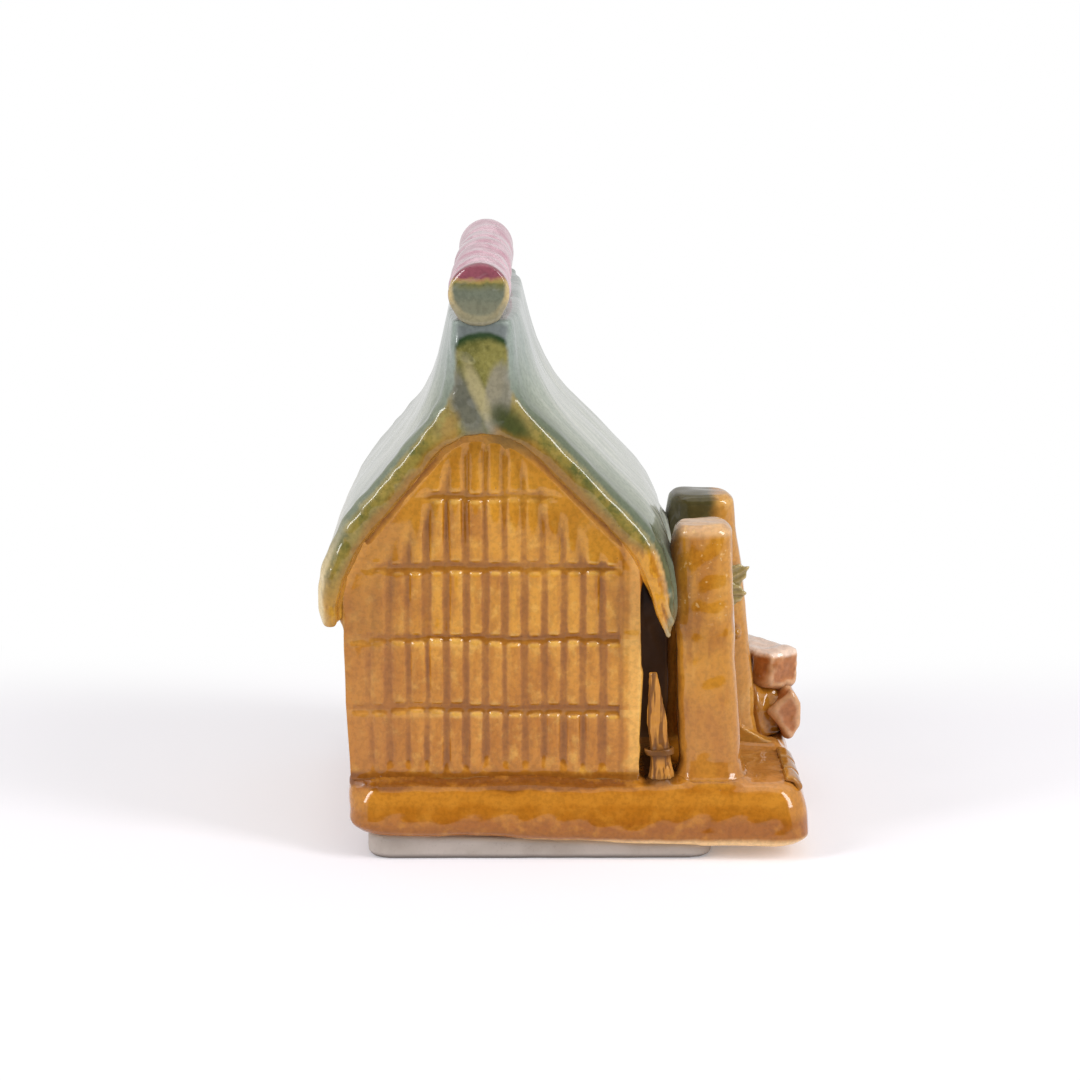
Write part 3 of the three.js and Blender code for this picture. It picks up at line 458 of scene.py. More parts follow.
def post_glaze(name, dark_to):
    """Amber on a trunk, with painted shade on the porch side, where the trunk faces the roof,
    and a painted lilac-grey sheen on its top.
    """
    glaze = Glaze(name)
    colour = pooled(glaze, (0.74, 0.39, 0.08), (0.54, 0.225, 0.020), AMBER_DEEP)
    grain = glaze.mottle(2.2, 4.0, (1.0, 1.0, 0.35), shift=7.0)
    colour = glaze.blend(glaze.step(grain, 0.42, 0.64) * 0.7, colour, (0.37, 0.125, 0.008))
    colour = glaze.blend(glaze.fade(glaze.z, 14.0, 24.0) * 0.5, colour, (0.46, 0.180, 0.035))
    # Painted lilac-grey sheen on the top, where the light from above falls
    top = glaze.step(glaze.z + 0.8 * (grain - 0.5), 36.9, 37.6)
    colour = glaze.blend(top * 0.6, colour, (0.72, 0.46, 0.26))
    speck = glaze.step(glaze.mottle(0.7, 2.0, shift=1.0), 0.62, 0.72) * glaze.step(glaze.z, 26.0, 30.0)
    colour = glaze.blend(speck * 0.6, colour, (0.78, 0.50, 0.20))
    # Painted shade down the side towards the porch's gap
    shade = glaze.fade(glaze.x + 1.2 * (glaze.mottle(3.0, 2.0) - 0.5), dark_to - 0.5, dark_to + 0.8)
    return glassy(glaze, glaze.blend(shade * 0.8, colour, (0.15, 0.060, 0.013)))


def far_post_glaze(name, dark_to):
    """The far trunk, whose top has painted bottle-green shade on the roof's side."""
    glaze = Glaze(name)
    colour = pooled(glaze, (0.74, 0.42, 0.12), (0.54, 0.235, 0.035), AMBER_DEEP)
    wavy = glaze.mottle(2.2, 3.0)
    # Painted shade from the roof: bottle green high up on the side towards it
    high = glaze.step(glaze.z + 2.5 * (wavy - 0.5), 29.0, 35.0)
    side = glaze.fade(glaze.x + 1.5 * (wavy - 0.5), dark_to, dark_to + 1.6)
    return glassy(glaze, glaze.blend(high * side * 0.95, colour, (0.070, 0.068, 0.026)))


def log_glaze(name, top_z):
    """Pinkish amber, with a painted pale sheen on top of the pile."""
    glaze = Glaze(name)
    cloud = glaze.mottle(1.6, 4.0, shift=4.0)
    body = glaze.blend(glaze.step(cloud, 0.4, 0.65), (0.49, 0.18, 0.053), (0.39, 0.135, 0.035))
    colour = pooled(glaze, (0.76, 0.45, 0.24), body, (0.27, 0.09, 0.015))
    # Painted sheen: the tops of the pile are pale where they catch the light
    top = glaze.step(glaze.z + 0.5 * (cloud - 0.5), top_z - 0.7, top_z - 0.2)
    return glassy(glaze, glaze.blend(top * 0.85, colour, (0.93, 0.72, 0.59)))


def straw_glaze(name):
    """Amber that lies dark between the straws."""
    glaze = Glaze(name)
    straws = glaze.mottle(0.55, 2.0, (1.0, 1.0, 0.06), shift=3.0)
    colour = pooled(glaze, (0.72, 0.36, 0.07), (0.50, 0.21, 0.035), (0.12, 0.04, 0.008))
    colour = glaze.blend(glaze.step(straws, 0.46, 0.56) * 0.85, colour, (0.13, 0.045, 0.009))
    normal = glaze.bump(straws, 0.08)
    return glaze.finish(colour, 0.22 + 0.2 * glaze.mottle(2.0, 3.0), normal, 0.3)


def leaf_glaze(name):
    glaze = Glaze(name)
    colour = pooled(glaze, (0.62, 0.47, 0.22), (0.37, 0.285, 0.11), (0.12, 0.10, 0.025), 0.4)
    return glassy(glaze, colour)


def bare_clay(name):
    """Unglazed, slightly sandy white clay, painted darker with the shade under the slab,
    and with a painted contact shadow along its foot.
    """
    glaze = Glaze(name)
    cloud = glaze.mottle(6.0, 4.0)
    grain = glaze.mottle(0.35, 3.0, shift=8.0)
    # The white clay is painted darker as the shade under the slab's overhang
    colour = glaze.blend(glaze.step(cloud, 0.35, 0.7), (0.48, 0.42, 0.375), (0.39, 0.335, 0.29))
    colour = glaze.shade(glaze.step(grain, 0.58, 0.75), colour, 0.12)
    joint = glaze.fade(glaze.measure("seam"), 0.1, 0.7)
    colour = glaze.blend(joint * 0.5, colour, (0.60, 0.47, 0.33))
    colour = glaze.shade(glaze.specks(1.9, 0.10), colour, 0.35)
    # Painted contact shadow along the very bottom of the foot
    colour = glaze.shade(glaze.fade(glaze.z + 0.3 * (cloud - 0.5), 0.15, 0.75), colour, 0.6)
    normal = glaze.bump(glaze.mottle(0.5, 4.0), 0.05)
    return glaze.finish(colour, 0.72 + 0.18 * grain, normal, 0.3)


# Clay forms

# Rounds of averaging that give the surroundings a hollow is measured from
HOLLOW_ROUNDS = 14


def link(name, data):
    made = bpy.data.objects.new(name, data)
    bpy.context.scene.collection.objects.link(made)
    return made


def shaped(name, clay):
    """The modelled clay as an object of the scene."""
    mesh = bpy.data.meshes.new(name)
    clay.to_mesh(mesh)
    clay.free()
    return link(name, mesh)


def evaluated(made):
    """The object's mesh with its modifiers worked in, and the object without them."""
    mesh = bpy.data.meshes.new_from_object(made.evaluated_get(bpy.context.evaluated_depsgraph_get()))
    made.modifiers.clear()
    made.data = mesh
    return made


def lump(name, nodes):
    """A copy of CAD nodes with their loose triangles merged."""
    clay = bmesh.new()
    for node in nodes:
        clay.from_mesh(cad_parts[node].data)
    bmesh.ops.remove_doubles(clay, verts=clay.verts, dist=0.001 * MM)
    return shaped(name, clay)


def join(target, *others):
    """The target with the meshes of the others added, and the others gone."""
    clay = bmesh.new()
    for made in (target, *others):
        clay.from_mesh(made.data)
    clay.to_mesh(target.data)
    clay.free()
    for made in others:
        bpy.data.objects.remove(made)
    return target


def soften(made, voxel, rounds):
    """One even skin over the clay, with its edges rubbed round."""
    skin = made.modifiers.new("skin", "REMESH")
    skin.mode = "VOXEL"
    skin.voxel_size = voxel * MM
    rub = made.modifiers.new("rub", "SMOOTH")
    rub.factor = 0.5
    rub.iterations = rounds
    return evaluated(made)


def points_of(mesh):
    flat = np.empty(3 * len(mesh.vertices))
    mesh.vertices.foreach_get("co", flat)
    return flat.reshape(-1, 3) / MM


def normals_of(mesh):
    flat = np.empty(3 * len(mesh.vertices))
    mesh.vertex_normals.foreach_get("vector", flat)
    return flat.reshape(-1, 3)


def put_points(mesh, points):
    mesh.vertices.foreach_set("co", (points * MM).ravel())
    mesh.update()


def ramp(values, start, end):
    """0 at the start, 1 at the end and straight between them. The end may be the lower one."""
    return np.clip((values - start) / (end - start), 0, 1)


def waver(points, size, seed):
    """Smooth variation from about -1 to 1 whose swells are about size millimetres long."""
    draw = np.random.default_rng(seed)
    waves = 14
    heading = draw.normal(size=(waves, 3))
    heading /= np.linalg.norm(heading, axis=1, keepdims=True)
    pace = 2 * np.pi / (size * draw.uniform(1.2, 2.6, waves))
    start = draw.uniform(0, 2 * np.pi, waves)
    return np.sin(points @ (heading * pace[:, None]).T + start).sum(axis=1) / math.sqrt(waves)


def press(made, amount, size, seed):
    """Uneven hand pressure: the surface swells and dips by up to about amount."""
    mesh = made.data
    points = points_of(mesh)
    swell = amount * waver(points, size, seed) + 0.3 * amount * waver(points, size / 3, seed + 1)
    put_points(mesh, points + normals_of(mesh) * swell[:, None])
    return made


def smoothed(mesh, points, rounds):
    """The points after rounds of averaging with their neighbours."""
    edges = np.empty(2 * len(mesh.edges), dtype=np.int64)
    mesh.edges.foreach_get("vertices", edges)
    a, b = edges.reshape(-1, 2).T
    ends = np.concatenate([a, b])
    others = np.concatenate([b, a])
    count = np.bincount(ends, minlength=len(points))[:, None]
    for _ in range(rounds):
        total = np.stack([np.bincount(ends, points[others, axis], len(points)) for axis in range(3)], axis=1)
        points = 0.5 * points + 0.5 * total / np.maximum(count, 1)
    return points


def store(mesh, name, values):
    mesh.attributes.new(name, "FLOAT", "POINT").data.foreach_set("value", values.astype(np.float32))


def measure_hollows(made):
    """How deep each point lies under its surroundings, in millimetres. Edges are below zero."""
    mesh = made.data
    points = points_of(mesh)
    rise = smoothed(mesh, points, HOLLOW_ROUNDS) - points
    store(mesh, "hollow", np.einsum("ij,ij->i", rise, normals_of(mesh)))


def tree_of(nodes):
    """The surfaces of some CAD nodes, to measure distances from."""
    corners, triangles = [], []
    for name in nodes:
        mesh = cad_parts[name].data
        first = len(corners)
        corners.extend(vertex.co.copy() for vertex in mesh.vertices)
        triangles.extend([first + i for i in face.vertices] for face in mesh.polygons)
    return BVHTree.FromPolygons(corners, triangles)


def distances(tree, points, reach):
    """How far each point is from the tree's surfaces, up to the reach."""
    found = (tree.find_nearest(place, reach * MM)[3] for place in (points * MM).tolist())
    return np.array([reach if distance is None else distance / MM for distance in found])


def fill_joints(made, own_nodes, height, reach=1.1, but=()):
    """Slip and glaze gather where the piece meets its neighbours, so its surface climbs onto them there."""
    mesh = made.data
    points = points_of(mesh)
    normals = normals_of(mesh)
    others = [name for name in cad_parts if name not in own_nodes and name not in but]
    gap = distances(tree_of(others), points + normals * height, reach + 0.6)
    close = ramp(gap, reach, 0.0)
    points = points + normals * (height * close**2)[:, None]
    soft = smoothed(mesh, points, 6)
    put_points(mesh, points + (soft - points) * np.minimum(1.5 * close, 1)[:, None])
    store(mesh, "seam", gap)


def measure_skin(made):
    """How far each point of the roof is from its weather side: the faces that look up and outwards."""
    mesh = made.data
    weather = []
    for face in mesh.polygons:
        outward = math.copysign(face.normal.x, face.normal.x * (face.center.x - RIDGE_X * MM))
        if 0.6 * outward + 0.8 * face.normal.z > 0.35 and abs(face.normal.y) < 0.6:
            weather.append(tuple(face.vertices))
    outside = BVHTree.FromPolygons([vertex.co for vertex in mesh.vertices], weather)
    depths = np.array([outside.find_nearest(vertex.co)[3] or 0.0 for vertex in mesh.vertices]) / MM
    store(mesh, "skin_depth", depths)
    return depths


def hand_over(made, nodes, material):
    """The finished piece takes its glaze and stands for its nodes, within the CAD model's box."""
    low, high = (np.array(corner) / MM for corner in cad_box)
    put_points(made.data, np.clip(points_of(made.data), low, high))
    made.data.materials.clear()
    made.data.materials.append(material)
    made.data.polygons.foreach_set("use_smooth", [True] * len(made.data.polygons))
    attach(made, BODY)
    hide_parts(*nodes)


def glaze_over(made, nodes, material, climb=0.6, but=(), reach=1.1):
    """Joints filled, hollows measured, and the piece handed over."""
    fill_joints(made, nodes, climb, reach, but)
    measure_hollows(made)
    hand_over(made, nodes, material)


# Pressed walls

def batten_rows():
    """A tree that stamps rows of battens on a grid in the X-Z plane."""
    tree = bpy.data.node_groups.new("batten rows", "GeometryNodeTree")
    face = tree.interface
    face.new_socket("Geometry", in_out="OUTPUT", socket_type="NodeSocketGeometry")
    face.new_socket("Geometry", in_out="INPUT", socket_type="NodeSocketGeometry")
    for name in ("Columns", "Rows", "Seed"):
        face.new_socket(name, in_out="INPUT", socket_type="NodeSocketInt")
    for name in ("Pitch", "Width", "Relief", "Row Pitch", "Groove", "Waver"):
        face.new_socket(name, in_out="INPUT", socket_type="NodeSocketFloat")
    face.new_socket("Glaze", in_out="INPUT", socket_type="NodeSocketMaterial")
    bench = Bench(tree)
    inputs = tree.nodes.new("NodeGroupInput")
    given = {socket.name: Socket(bench, socket) for socket in inputs.outputs if socket.name}
    grid = bench.node(
        "GeometryNodeMeshGrid",
        None,
        {
            "Size X": (given["Columns"] - 1) * given["Pitch"],
            "Size Y": (given["Rows"] - 1) * given["Row Pitch"],
            "Vertices X": given["Columns"],
            "Vertices Y": given["Rows"],
        },
    )
    to_upright = (math.pi / 2, 0.0, 0.0)
    upright = bench.node("GeometryNodeTransform", None, {"Geometry": grid, "Rotation": to_upright})

    def loose(low, high, extra):
        return bench.node(
            "FunctionNodeRandomValue",
            {"data_type": "FLOAT"},
            {"Min": low, "Max": high, "Seed": given["Seed"] + extra},
            out=1,
        )

    def vector(x=0.0, y=0.0, z=0.0):
        return bench.node("ShaderNodeCombineXYZ", None, {"X": x, "Y": y, "Z": z})

    where = bench.node("GeometryNodeInputPosition")
    per_metre = 90.0
    drift = bench.node("ShaderNodeTexNoise", None, {"Vector": where, "Scale": per_metre, "Detail": 1.0})
    lift = (drift - 0.5) * given["Waver"] * 5
    slip = given["Waver"] * loose(-0.35, 0.35, 1)
    offset = vector(x=slip, z=lift)
    moved = bench.node("GeometryNodeSetPosition", None, {"Geometry": upright, "Offset": offset})
    size = vector(
        x=given["Width"] * loose(0.93, 1.05, 2),
        y=2 * given["Relief"] * loose(0.85, 1.1, 3),
        z=given["Row Pitch"] - given["Groove"] * loose(0.8, 1.3, 4),
    )
    lean = vector(y=loose(-0.014, 0.014, 5))
    bar = bench.node("GeometryNodeMeshCylinder", None, {"Vertices": 14, "Radius": 0.5, "Depth": 1.0})
    stamped = bench.node(
        "GeometryNodeInstanceOnPoints",
        None,
        {"Points": moved, "Instance": bar, "Scale": size, "Rotation": lean},
    )
    real = bench.node("GeometryNodeRealizeInstances", None, {"Geometry": stamped})
    glazed = bench.node("GeometryNodeSetMaterial", None, {"Geometry": real, "Material": given["Glaze"]})
    bench.node("NodeGroupOutput", None, {"Geometry": glazed})
    return tree


def grown(name, tree, sizes):
    """What a tree grows from these named sizes, as a plain mesh."""
    made = link(name, bpy.data.meshes.new(name))
    grower = made.modifiers.new("grow", "NODES")
    grower.node_group = tree
    keys = {item.name: item.identifier for item in tree.interface.items_tree if item.in_out == "INPUT"}
    for key, value in sizes.items():
        grower[keys[key]] = value
    return evaluated(made)


def slab(name, outline, from_depth, to_depth):
    """An upright slab whose outline is in X and Z, between two depths along Y."""
    clay = bmesh.new()
    front = [clay.verts.new((x * MM, from_depth * MM, z * MM)) for x, z in outline]
    face = clay.faces.new(front)
    pushed = bmesh.ops.extrude_face_region(clay, geom=[face])["geom"]
    verts = [part for part in pushed if isinstance(part, bmesh.types.BMVert)]
    bmesh.ops.translate(clay, verts=verts, vec=(0.0, (to_depth - from_depth) * MM, 0.0))
    bmesh.ops.recalc_face_normals(clay, faces=clay.faces)
    return shaped(name, clay)


def oblong(left, right, low, high):
    """The outline of an upright oblong, in X and Z."""
    return [(left, low), (right, low), (right, high), (left, high)]


def cut(made, tool, operation):
    """A boolean whose tool is used up."""
    knife = made.modifiers.new("knife", "BOOLEAN")
    knife.operation = operation
    knife.solver = "EXACT"
    knife.object = tool
    evaluated(made)
    bpy.data.objects.remove(tool)


def level_relief(wall, to_wall, face_y, faint_left):
    """The battens fade out under the roof, at the wall's foot, and on a side that was pressed less."""
    mesh = wall.data
    points = points_of(mesh)
    level = face_y + 0.4 * RELIEF
    in_place = points @ np.array(to_wall.to_3x3()).T
    from_roof = distances(tree_of(ROOF_NODES), in_place, 6.0)
    row = (points[:, 2] - WALL_FOOT) / ROW_PITCH % 1
    line = ramp(np.abs(row - 0.5), 0.40, 0.44)
    aside = ramp(np.abs(in_place[:, 0] - RIDGE_X), 3.0, 7.0) * (1 - 0.7 * line)
    keep = ramp(from_roof - 1.9 * aside, 0.9, 2.1 + aside)
    keep *= 0.85 + 0.15 * waver(points, 6.0, 3)
    if faint_left:
        keep *= 0.6 + 0.4 * ramp(points[:, 0] - points[:, 0].min(), 1.5, 6.0)
    keep *= ramp(points[:, 2] - 0.5 * waver(points, 2.0, 5), 9.9, 11.2)
    on_face = points[:, 1] < face_y + RELIEF + 0.3
    depth = ramp(points[:, 1] - face_y, 0.08, RELIEF - 0.06)
    store(mesh, "groove", np.where(on_face, depth * keep, 0.3))
    store(mesh, "relief", np.where(on_face, keep, 0.0))
    points[:, 1] = np.where(on_face, level + (points[:, 1] - level) * keep, points[:, 1])
    put_points(mesh, points)


def draw_in(wall):
    """The hut's back edge comes in by half a millimetre at its foot."""
    points = points_of(wall.data)
    points[:, 0] += 0.5 * ramp(points[:, 2], 18.0, BASE_TOP) * ramp(points[:, 0], -15.0, -22.0)
    put_points(wall.data, points)


def stamped_battens(low, high, left_bead, right_bead, material, seed):
    """Rows of battens on a wall's face between the smooth beads along its edges."""
    middle = (low[0] + high[0]) / 2
    face_y = low[1]
    field = high[0] - low[0] - left_bead - right_bead
    columns = int((field - BATTEN_W) / BATTEN_PITCH) + 1
    rows = math.ceil((high[2] - low[2]) / ROW_PITCH)
    battens = grown(
        "battens",
        BATTEN_ROWS,
        {
            "Columns": columns,
            "Rows": rows,
            "Pitch": BATTEN_PITCH * MM,
            "Width": BATTEN_W * MM,
            "Relief": RELIEF * MM,
            "Row Pitch": ROW_PITCH * MM,
            "Groove": ROW_GROOVE * MM,
            "Waver": BATTEN_WAVER * MM,
            "Seed": seed,
            "Glaze": material,
        },
    )
    place = Vector((middle + (left_bead - right_bead) / 2, face_y + RELIEF, low[2] + rows * ROW_PITCH / 2))
    battens.data.transform(Matrix.Translation(place * MM))
    for bead, edge in ((left_bead, low[0]), (right_bead, high[0] - right_bead)):
        if bead:
            corners = oblong(edge, edge + bead, low[2], high[2])
            join(battens, slab("bead", corners, face_y + BEAD_SET_BACK, face_y + 2 * RELIEF))
    return battens


def cut_doorway(wall, node):
    """The opening behind the porch, through a wall that faces +X."""
    face_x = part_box(node)[1][0] / MM
    reach = 5.0
    hole = oblong(face_x - reach, face_x + reach, 0.0, DOOR_TOP)
    cut(wall, slab("door", hole, *DOOR_SIDES), "DIFFERENCE")


def pressed_wall(node, turn, beads, voxel, material, seed, doorway=False):
    """A wall in the outline of its node. It is built facing -Y about the wall's middle and then turned."""
    to_wall = Matrix.Rotation(turn, 4, "Z")
    from_world = to_wall.inverted()
    flat = [from_world @ vertex.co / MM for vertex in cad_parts[node].data.vertices]
    low = [min(point[axis] for point in flat) for axis in range(3)]
    high = [max(point[axis] for point in flat) for axis in range(3)]
    hull = geometry.convex_hull_2d([Vector((point.x, point.z)) for point in flat])
    outline = [(flat[i].x, flat[i].z) for i in hull]
    face_y = low[1]
    left_bead, right_bead = beads
    battens = stamped_battens(low, high, left_bead, right_bead, material, seed)
    cut(battens, slab("trim", outline, face_y - 1.0, face_y + WALL_T), "INTERSECT")
    wall = soften(join(slab(f"glazed_{node}", outline, face_y + RELIEF, face_y + WALL_T), battens), voxel, 5)
    level_relief(wall, to_wall, face_y, faint_left=left_bead < right_bead)
    wall.data.transform(to_wall)
    if doorway:
        cut_doorway(wall, node)
        soften(wall, voxel, 3)
    press(wall, 0.09, 9.0, seed)
    draw_in(wall)
    glaze_over(wall, [node], material, but=COILS)


BATTEN_ROWS = batten_rows()
quarter = math.pi / 2
gable = gable_glaze("gable amber glaze")
pressed_wall("near_gable_wall", 0.0, (0.6, 2.1), 0.2, gable, 11)
pressed_wall("far_gable_wall", 2 * quarter, (2.1, 0.6), 0.24, gable, 12)
pressed_wall("back_wall", -quarter, (0.0, 0.0), 0.24, gable, 13)
# The front wall shows only in the porch's gap, so its ambers are darkened with painted shade
porch_painted_shade_tones = ((0.40, 0.19, 0.06), (0.20, 0.082, 0.018), (0.07, 0.028, 0.008))
porch_shaded_amber = amber_glaze("porch amber in painted shade", *porch_painted_shade_tones)
pressed_wall("front_wall", quarter, (0.0, 0.0), 0.24, porch_shaded_amber, 14, doorway=True)


# Roof

def parted(whole, side, name):
    """The part of a mesh on one side of the ridge, closed where it was cut."""
    clay = bmesh.new()
    clay.from_mesh(whole.data)
    parts = (*clay.verts, *clay.edges, *clay.faces)
    cut_through = bmesh.ops.bisect_plane(
        clay, geom=parts, plane_co=(RIDGE_X * MM, 0.0, 0.0), plane_no=(side, 0.0, 0.0), clear_inner=True
    )
    rim = [part for part in cut_through["geom_cut"] if isinstance(part, bmesh.types.BMEdge)]
    bmesh.ops.triangle_fill(clay, edges=rim, use_beauty=True)
    for edge in rim:
        edge.smooth = False
    bmesh.ops.recalc_face_normals(clay, faces=clay.faces)
    return shaped(name, clay)


def roof(material):
    """Two slabs pinched together over the ridge, worked as one skin and then parted at the ridge."""
    end_y = 22.6
    filling = slab("filling", oblong(RIDGE_X - 0.3, RIDGE_X + 0.3, 50.3, 60.6), -end_y, end_y)
    whole = join(lump("roof", ROOF_NODES), filling)
    soften(whole, 0.28, 15)
    press(whole, 0.10, 8.0, 21)
    mesh = whole.data
    points = points_of(mesh)
    normals = normals_of(mesh)
    skin = measure_skin(whole)
    out_y = np.abs(points[:, 1])
    neck = ramp(points[:, 2], 47.0, 52.0)
    # The cut ends of the slabs and of the neck are worn convex, from -1 on one edge to 1 on the other
    half_slab, half_neck = 1.5, 3.7
    on_slab = np.clip((skin - half_slab) / half_slab, -1, 1)
    on_neck = np.clip((points[:, 0] - RIDGE_X) / half_neck, -1, 1)
    back = (1 - neck) * np.where(on_slab < 0, 0.8, 0.3) * on_slab**2 + neck * 0.8 * on_neck**2
    back += 0.4 * ramp(points[:, 2], 59.6, 61.6)
    points[:, 1] -= back * ramp(out_y, 20.2, 22.2) * np.sign(points[:, 1])
    # Rough clay along the rim, and the fingers' ridges at the foot of the porch side
    finger_pitch = 1.05
    out_y = np.abs(points[:, 1])
    rim = ramp(out_y, 19.0, 22.0)
    rear = ramp(points[:, 0], RIDGE_X, RIDGE_X - 2.0)
    rough = rim * (0.03 + 0.07 * rear) * waver(points, 1.6, 26)
    across = 0.96 * points[:, 0] + 0.28 * points[:, 2] + 0.25 * waver(points, 3.0, 27)
    flap = ramp(out_y, 20.8, 21.6) * ramp(points[:, 2], 32.5, 29.5)
    ridges = flap * (1 - rear) * 0.26 * np.sin(across * 2 * np.pi / finger_pitch)
    put_points(mesh, points + normals * (rough + ridges)[:, None])
    fill_joints(whole, ROOF_NODES, 0.6, but=("ridge_roll", *COILS))
    measure_hollows(whole)
    for side, node in ((1, "roof_porch_slope"), (-1, "roof_rear_slope")):
        hand_over(parted(whole, side, f"glazed_{node}"), [node], material)
    bpy.data.objects.remove(whole)


roof(roof_glaze("roof glaze"))


def verge(node, material):
    """The coil under a verge, smeared from the roof's rim down onto the wall."""
    back_y, face_y, fullness = 18.9, 19.45, 0.75
    made = soften(lump(f"glazed_{node}", [node]), 0.2, 4)
    mesh = made.data
    points = points_of(mesh)
    from_roof = distances(tree_of(ROOF_NODES), points, 4.0)
    out = ramp(np.abs(points[:, 1]), 20.1, 21.5)
    taper = ramp(points[:, 2] - points[:, 2].min(), 0.5, 5.5)
    store(mesh, "roof_gap", from_roof)
    crown = face_y + fullness * taper * ramp(from_roof, 1.5, 0.0)
    points[:, 1] = np.sign(points[:, 1]) * (back_y + out * (crown - back_y))
    from_ridge = points[:, 0] - RIDGE_X
    points[:, 0] -= 0.3 * ramp(np.abs(from_ridge), 0.8, 0.0) * np.sign(from_ridge)
    tuck = 0.35 * ramp(from_roof, 0.9, 0.0)
    put_points(mesh, smoothed(mesh, points + tuck[:, None] * normals_of(mesh), 6))
    press(made, 0.06, 4.0, 28)
    glaze_over(made, [node], material, climb=0.1)


coil_amber = verge_glaze("verge amber glaze")
for coil in COILS:
    verge(coil, coil_amber)

roll_low, roll_high = (Vector(corner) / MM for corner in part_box("ridge_roll"))
roll_middle = (roll_low + roll_high) / 2
roll_radius = (roll_high.x - roll_low.x) / 2


def ridge_roll():
    """A roll with the soft rings that fingers leave, and thick rose glaze hanging over its ends."""
    made = soften(lump("glazed_ridge_roll", ["ridge_roll"]), 0.2, 6)
    mesh = made.data
    points = points_of(mesh)
    normals = normals_of(mesh)
    wide_ring, fine_ring = 6.1, 2.9
    turns = 2 * np.pi * (points[:, 1] + 0.8 * waver(points, 4.0, 31))
    rings = 0.12 * np.sin(turns / wide_ring) + 0.03 * np.sin(turns / fine_ring + 1)
    flat_end = np.abs(normals[:, 1]) > 0.7
    swell = np.where(flat_end, 0.0, rings) + 0.10 * waver(points, 5.0, 32)
    points = points + normals * (swell - 0.12)[:, None]
    rise = points[:, 2] - roll_middle.z + 0.6 * waver(points, 1.6, 33)
    lip = ramp(rise, 0.8, 1.15) * (np.abs(normals[:, 1]) > 0.3)
    points[:, 1] += 0.22 * lip * normals[:, 1]
    put_points(mesh, smoothed(mesh, points, 2))
    glaze = rose_glaze("rose glaze", roll_middle, roll_radius, roll_high.y)
    glaze_over(made, ["ridge_roll"], glaze, climb=0.35)


ridge_roll()


# Pieces that keep their solid's shape and are only rubbed soft

plain_amber = amber_glaze("amber glaze")
log_high = Vector(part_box("split_log_2")[1]) / MM
log_amber = log_glaze("log amber glaze", log_high.z)
# The screen's and the tie's glazes carry the porch gap's painted shade
painted_shade = shaded_glaze("umber glaze", (0.12, 0.055, 0.02), PAINTED_SHADE_BROWN, (0.03, 0.013, 0.006))
straw = straw_glaze("straw glaze")
tie_glaze = shaded_glaze("tie glaze", (0.30, 0.13, 0.03), (0.18, 0.07, 0.014), (0.06, 0.02, 0.006))
leaf_green = leaf_glaze("leaf glaze")
post_low = Vector(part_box("near_post")[0]) / MM
far_low = Vector(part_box("far_post")[0]) / MM


def dab(middle, radii, turn=None):
    """A lump of clay, in millimetres: round, or squared off and turned."""
    clay = bmesh.new()
    if turn is None:
        bmesh.ops.create_icosphere(clay, subdivisions=4, radius=MM)
    else:
        bmesh.ops.create_cube(clay, size=2 * MM)
    bmesh.ops.scale(clay, vec=radii, verts=clay.verts)
    bmesh.ops.rotate(clay, matrix=Matrix.Rotation(turn or 0.0, 3, "Z"), verts=clay.verts)
    bmesh.ops.translate(clay, vec=Vector(middle) * MM, verts=clay.verts)
    return shaped("dab", clay)


def rub(node, voxel, rounds, amount, size, seed, shape=None):
    """The node's solid with one soft skin, shaped further if asked, and pressed unevenly."""
    made = lump(f"glazed_{node}", [node])
    for sizes in DABS.get(node, ()):
        join(made, dab(*sizes))
    soften(made, voxel, rounds)
    if shape:
        mesh = made.data
        put_points(mesh, shape(points_of(mesh), normals_of(mesh)))
    return press(made, amount, size, seed)


def taller_screen(points, normals):
    """The screen reaches up under the eave."""
    foot, stretch = points[:, 2].min(), 1.17
    points[:, 2] = foot + (points[:, 2] - foot) * stretch
    return points


def narrow_slab(points, normals):
    """The slab's sides lean in towards its top, but its back flares out under the back wall."""
    lean = 0.11 * np.maximum(points[:, 2] - 2.8, 0)
    middle = (points.min(axis=0) + points.max(axis=0)) / 2
    half = (points.max(axis=0) - points.min(axis=0)) / 2
    for axis in (0, 1):
        side = (points[:, axis] - middle[axis]) / half[axis]
        points[:, axis] -= lean * np.where((axis == 0) & (side < 0), 0.0, 1.0) * side
    flare = 0.9 * ramp(points[:, 2], 5.5, 8.5)
    tuck = 0.6 * ramp(points[:, 2], 4.5, 1.5)
    points[:, 0] -= ramp(points[:, 0], -14.0, -21.0) * (flare - tuck)
    return points


def leaning_post(points, normals):
    """The trunk leans back a little."""
    lean = 0.024
    points[:, 1] += lean * (points[:, 2] - WALL_FOOT)
    return points


def low_root(points, normals):
    """The root's ridge is pressed down beside the woodpile."""
    out = ramp(points[:, 0], 22.6, 24.1) * ramp(points[:, 2], 20.0, 17.0)
    points[:, 2] = WALL_FOOT + (points[:, 2] - WALL_FOOT) * (1 - 0.6 * out)
    return points


def plump(points, normals):
    """Split wood in soft clay: full faces between worn corners."""
    return points + 0.22 * normals


def worn_rib(points, normals):
    """A rib pressed almost flat onto the slab's edge."""
    out = ramp(points[:, 0], 28.2, 30.9)
    points[:, 0] -= 1.1 * out
    points[:, 2] -= 0.3 + 0.15 * out
    return points


def full_sheaf(points, normals):
    """A sheaf that fills most of the gap beside the trunk."""
    gap_from, gap_to = 11.9, 15.3
    up = points[:, 2]
    middle = np.polyval(np.polyfit(up, points[:, 0], 1), up)
    fuller = 1.4 + 0.5 * ramp(up, 12.6, 15.6) - 0.8 * ramp(up, 17.0, 22.0)
    points[:, 0] = np.clip(middle + fuller * (points[:, 0] - middle), gap_from, gap_to)
    return points


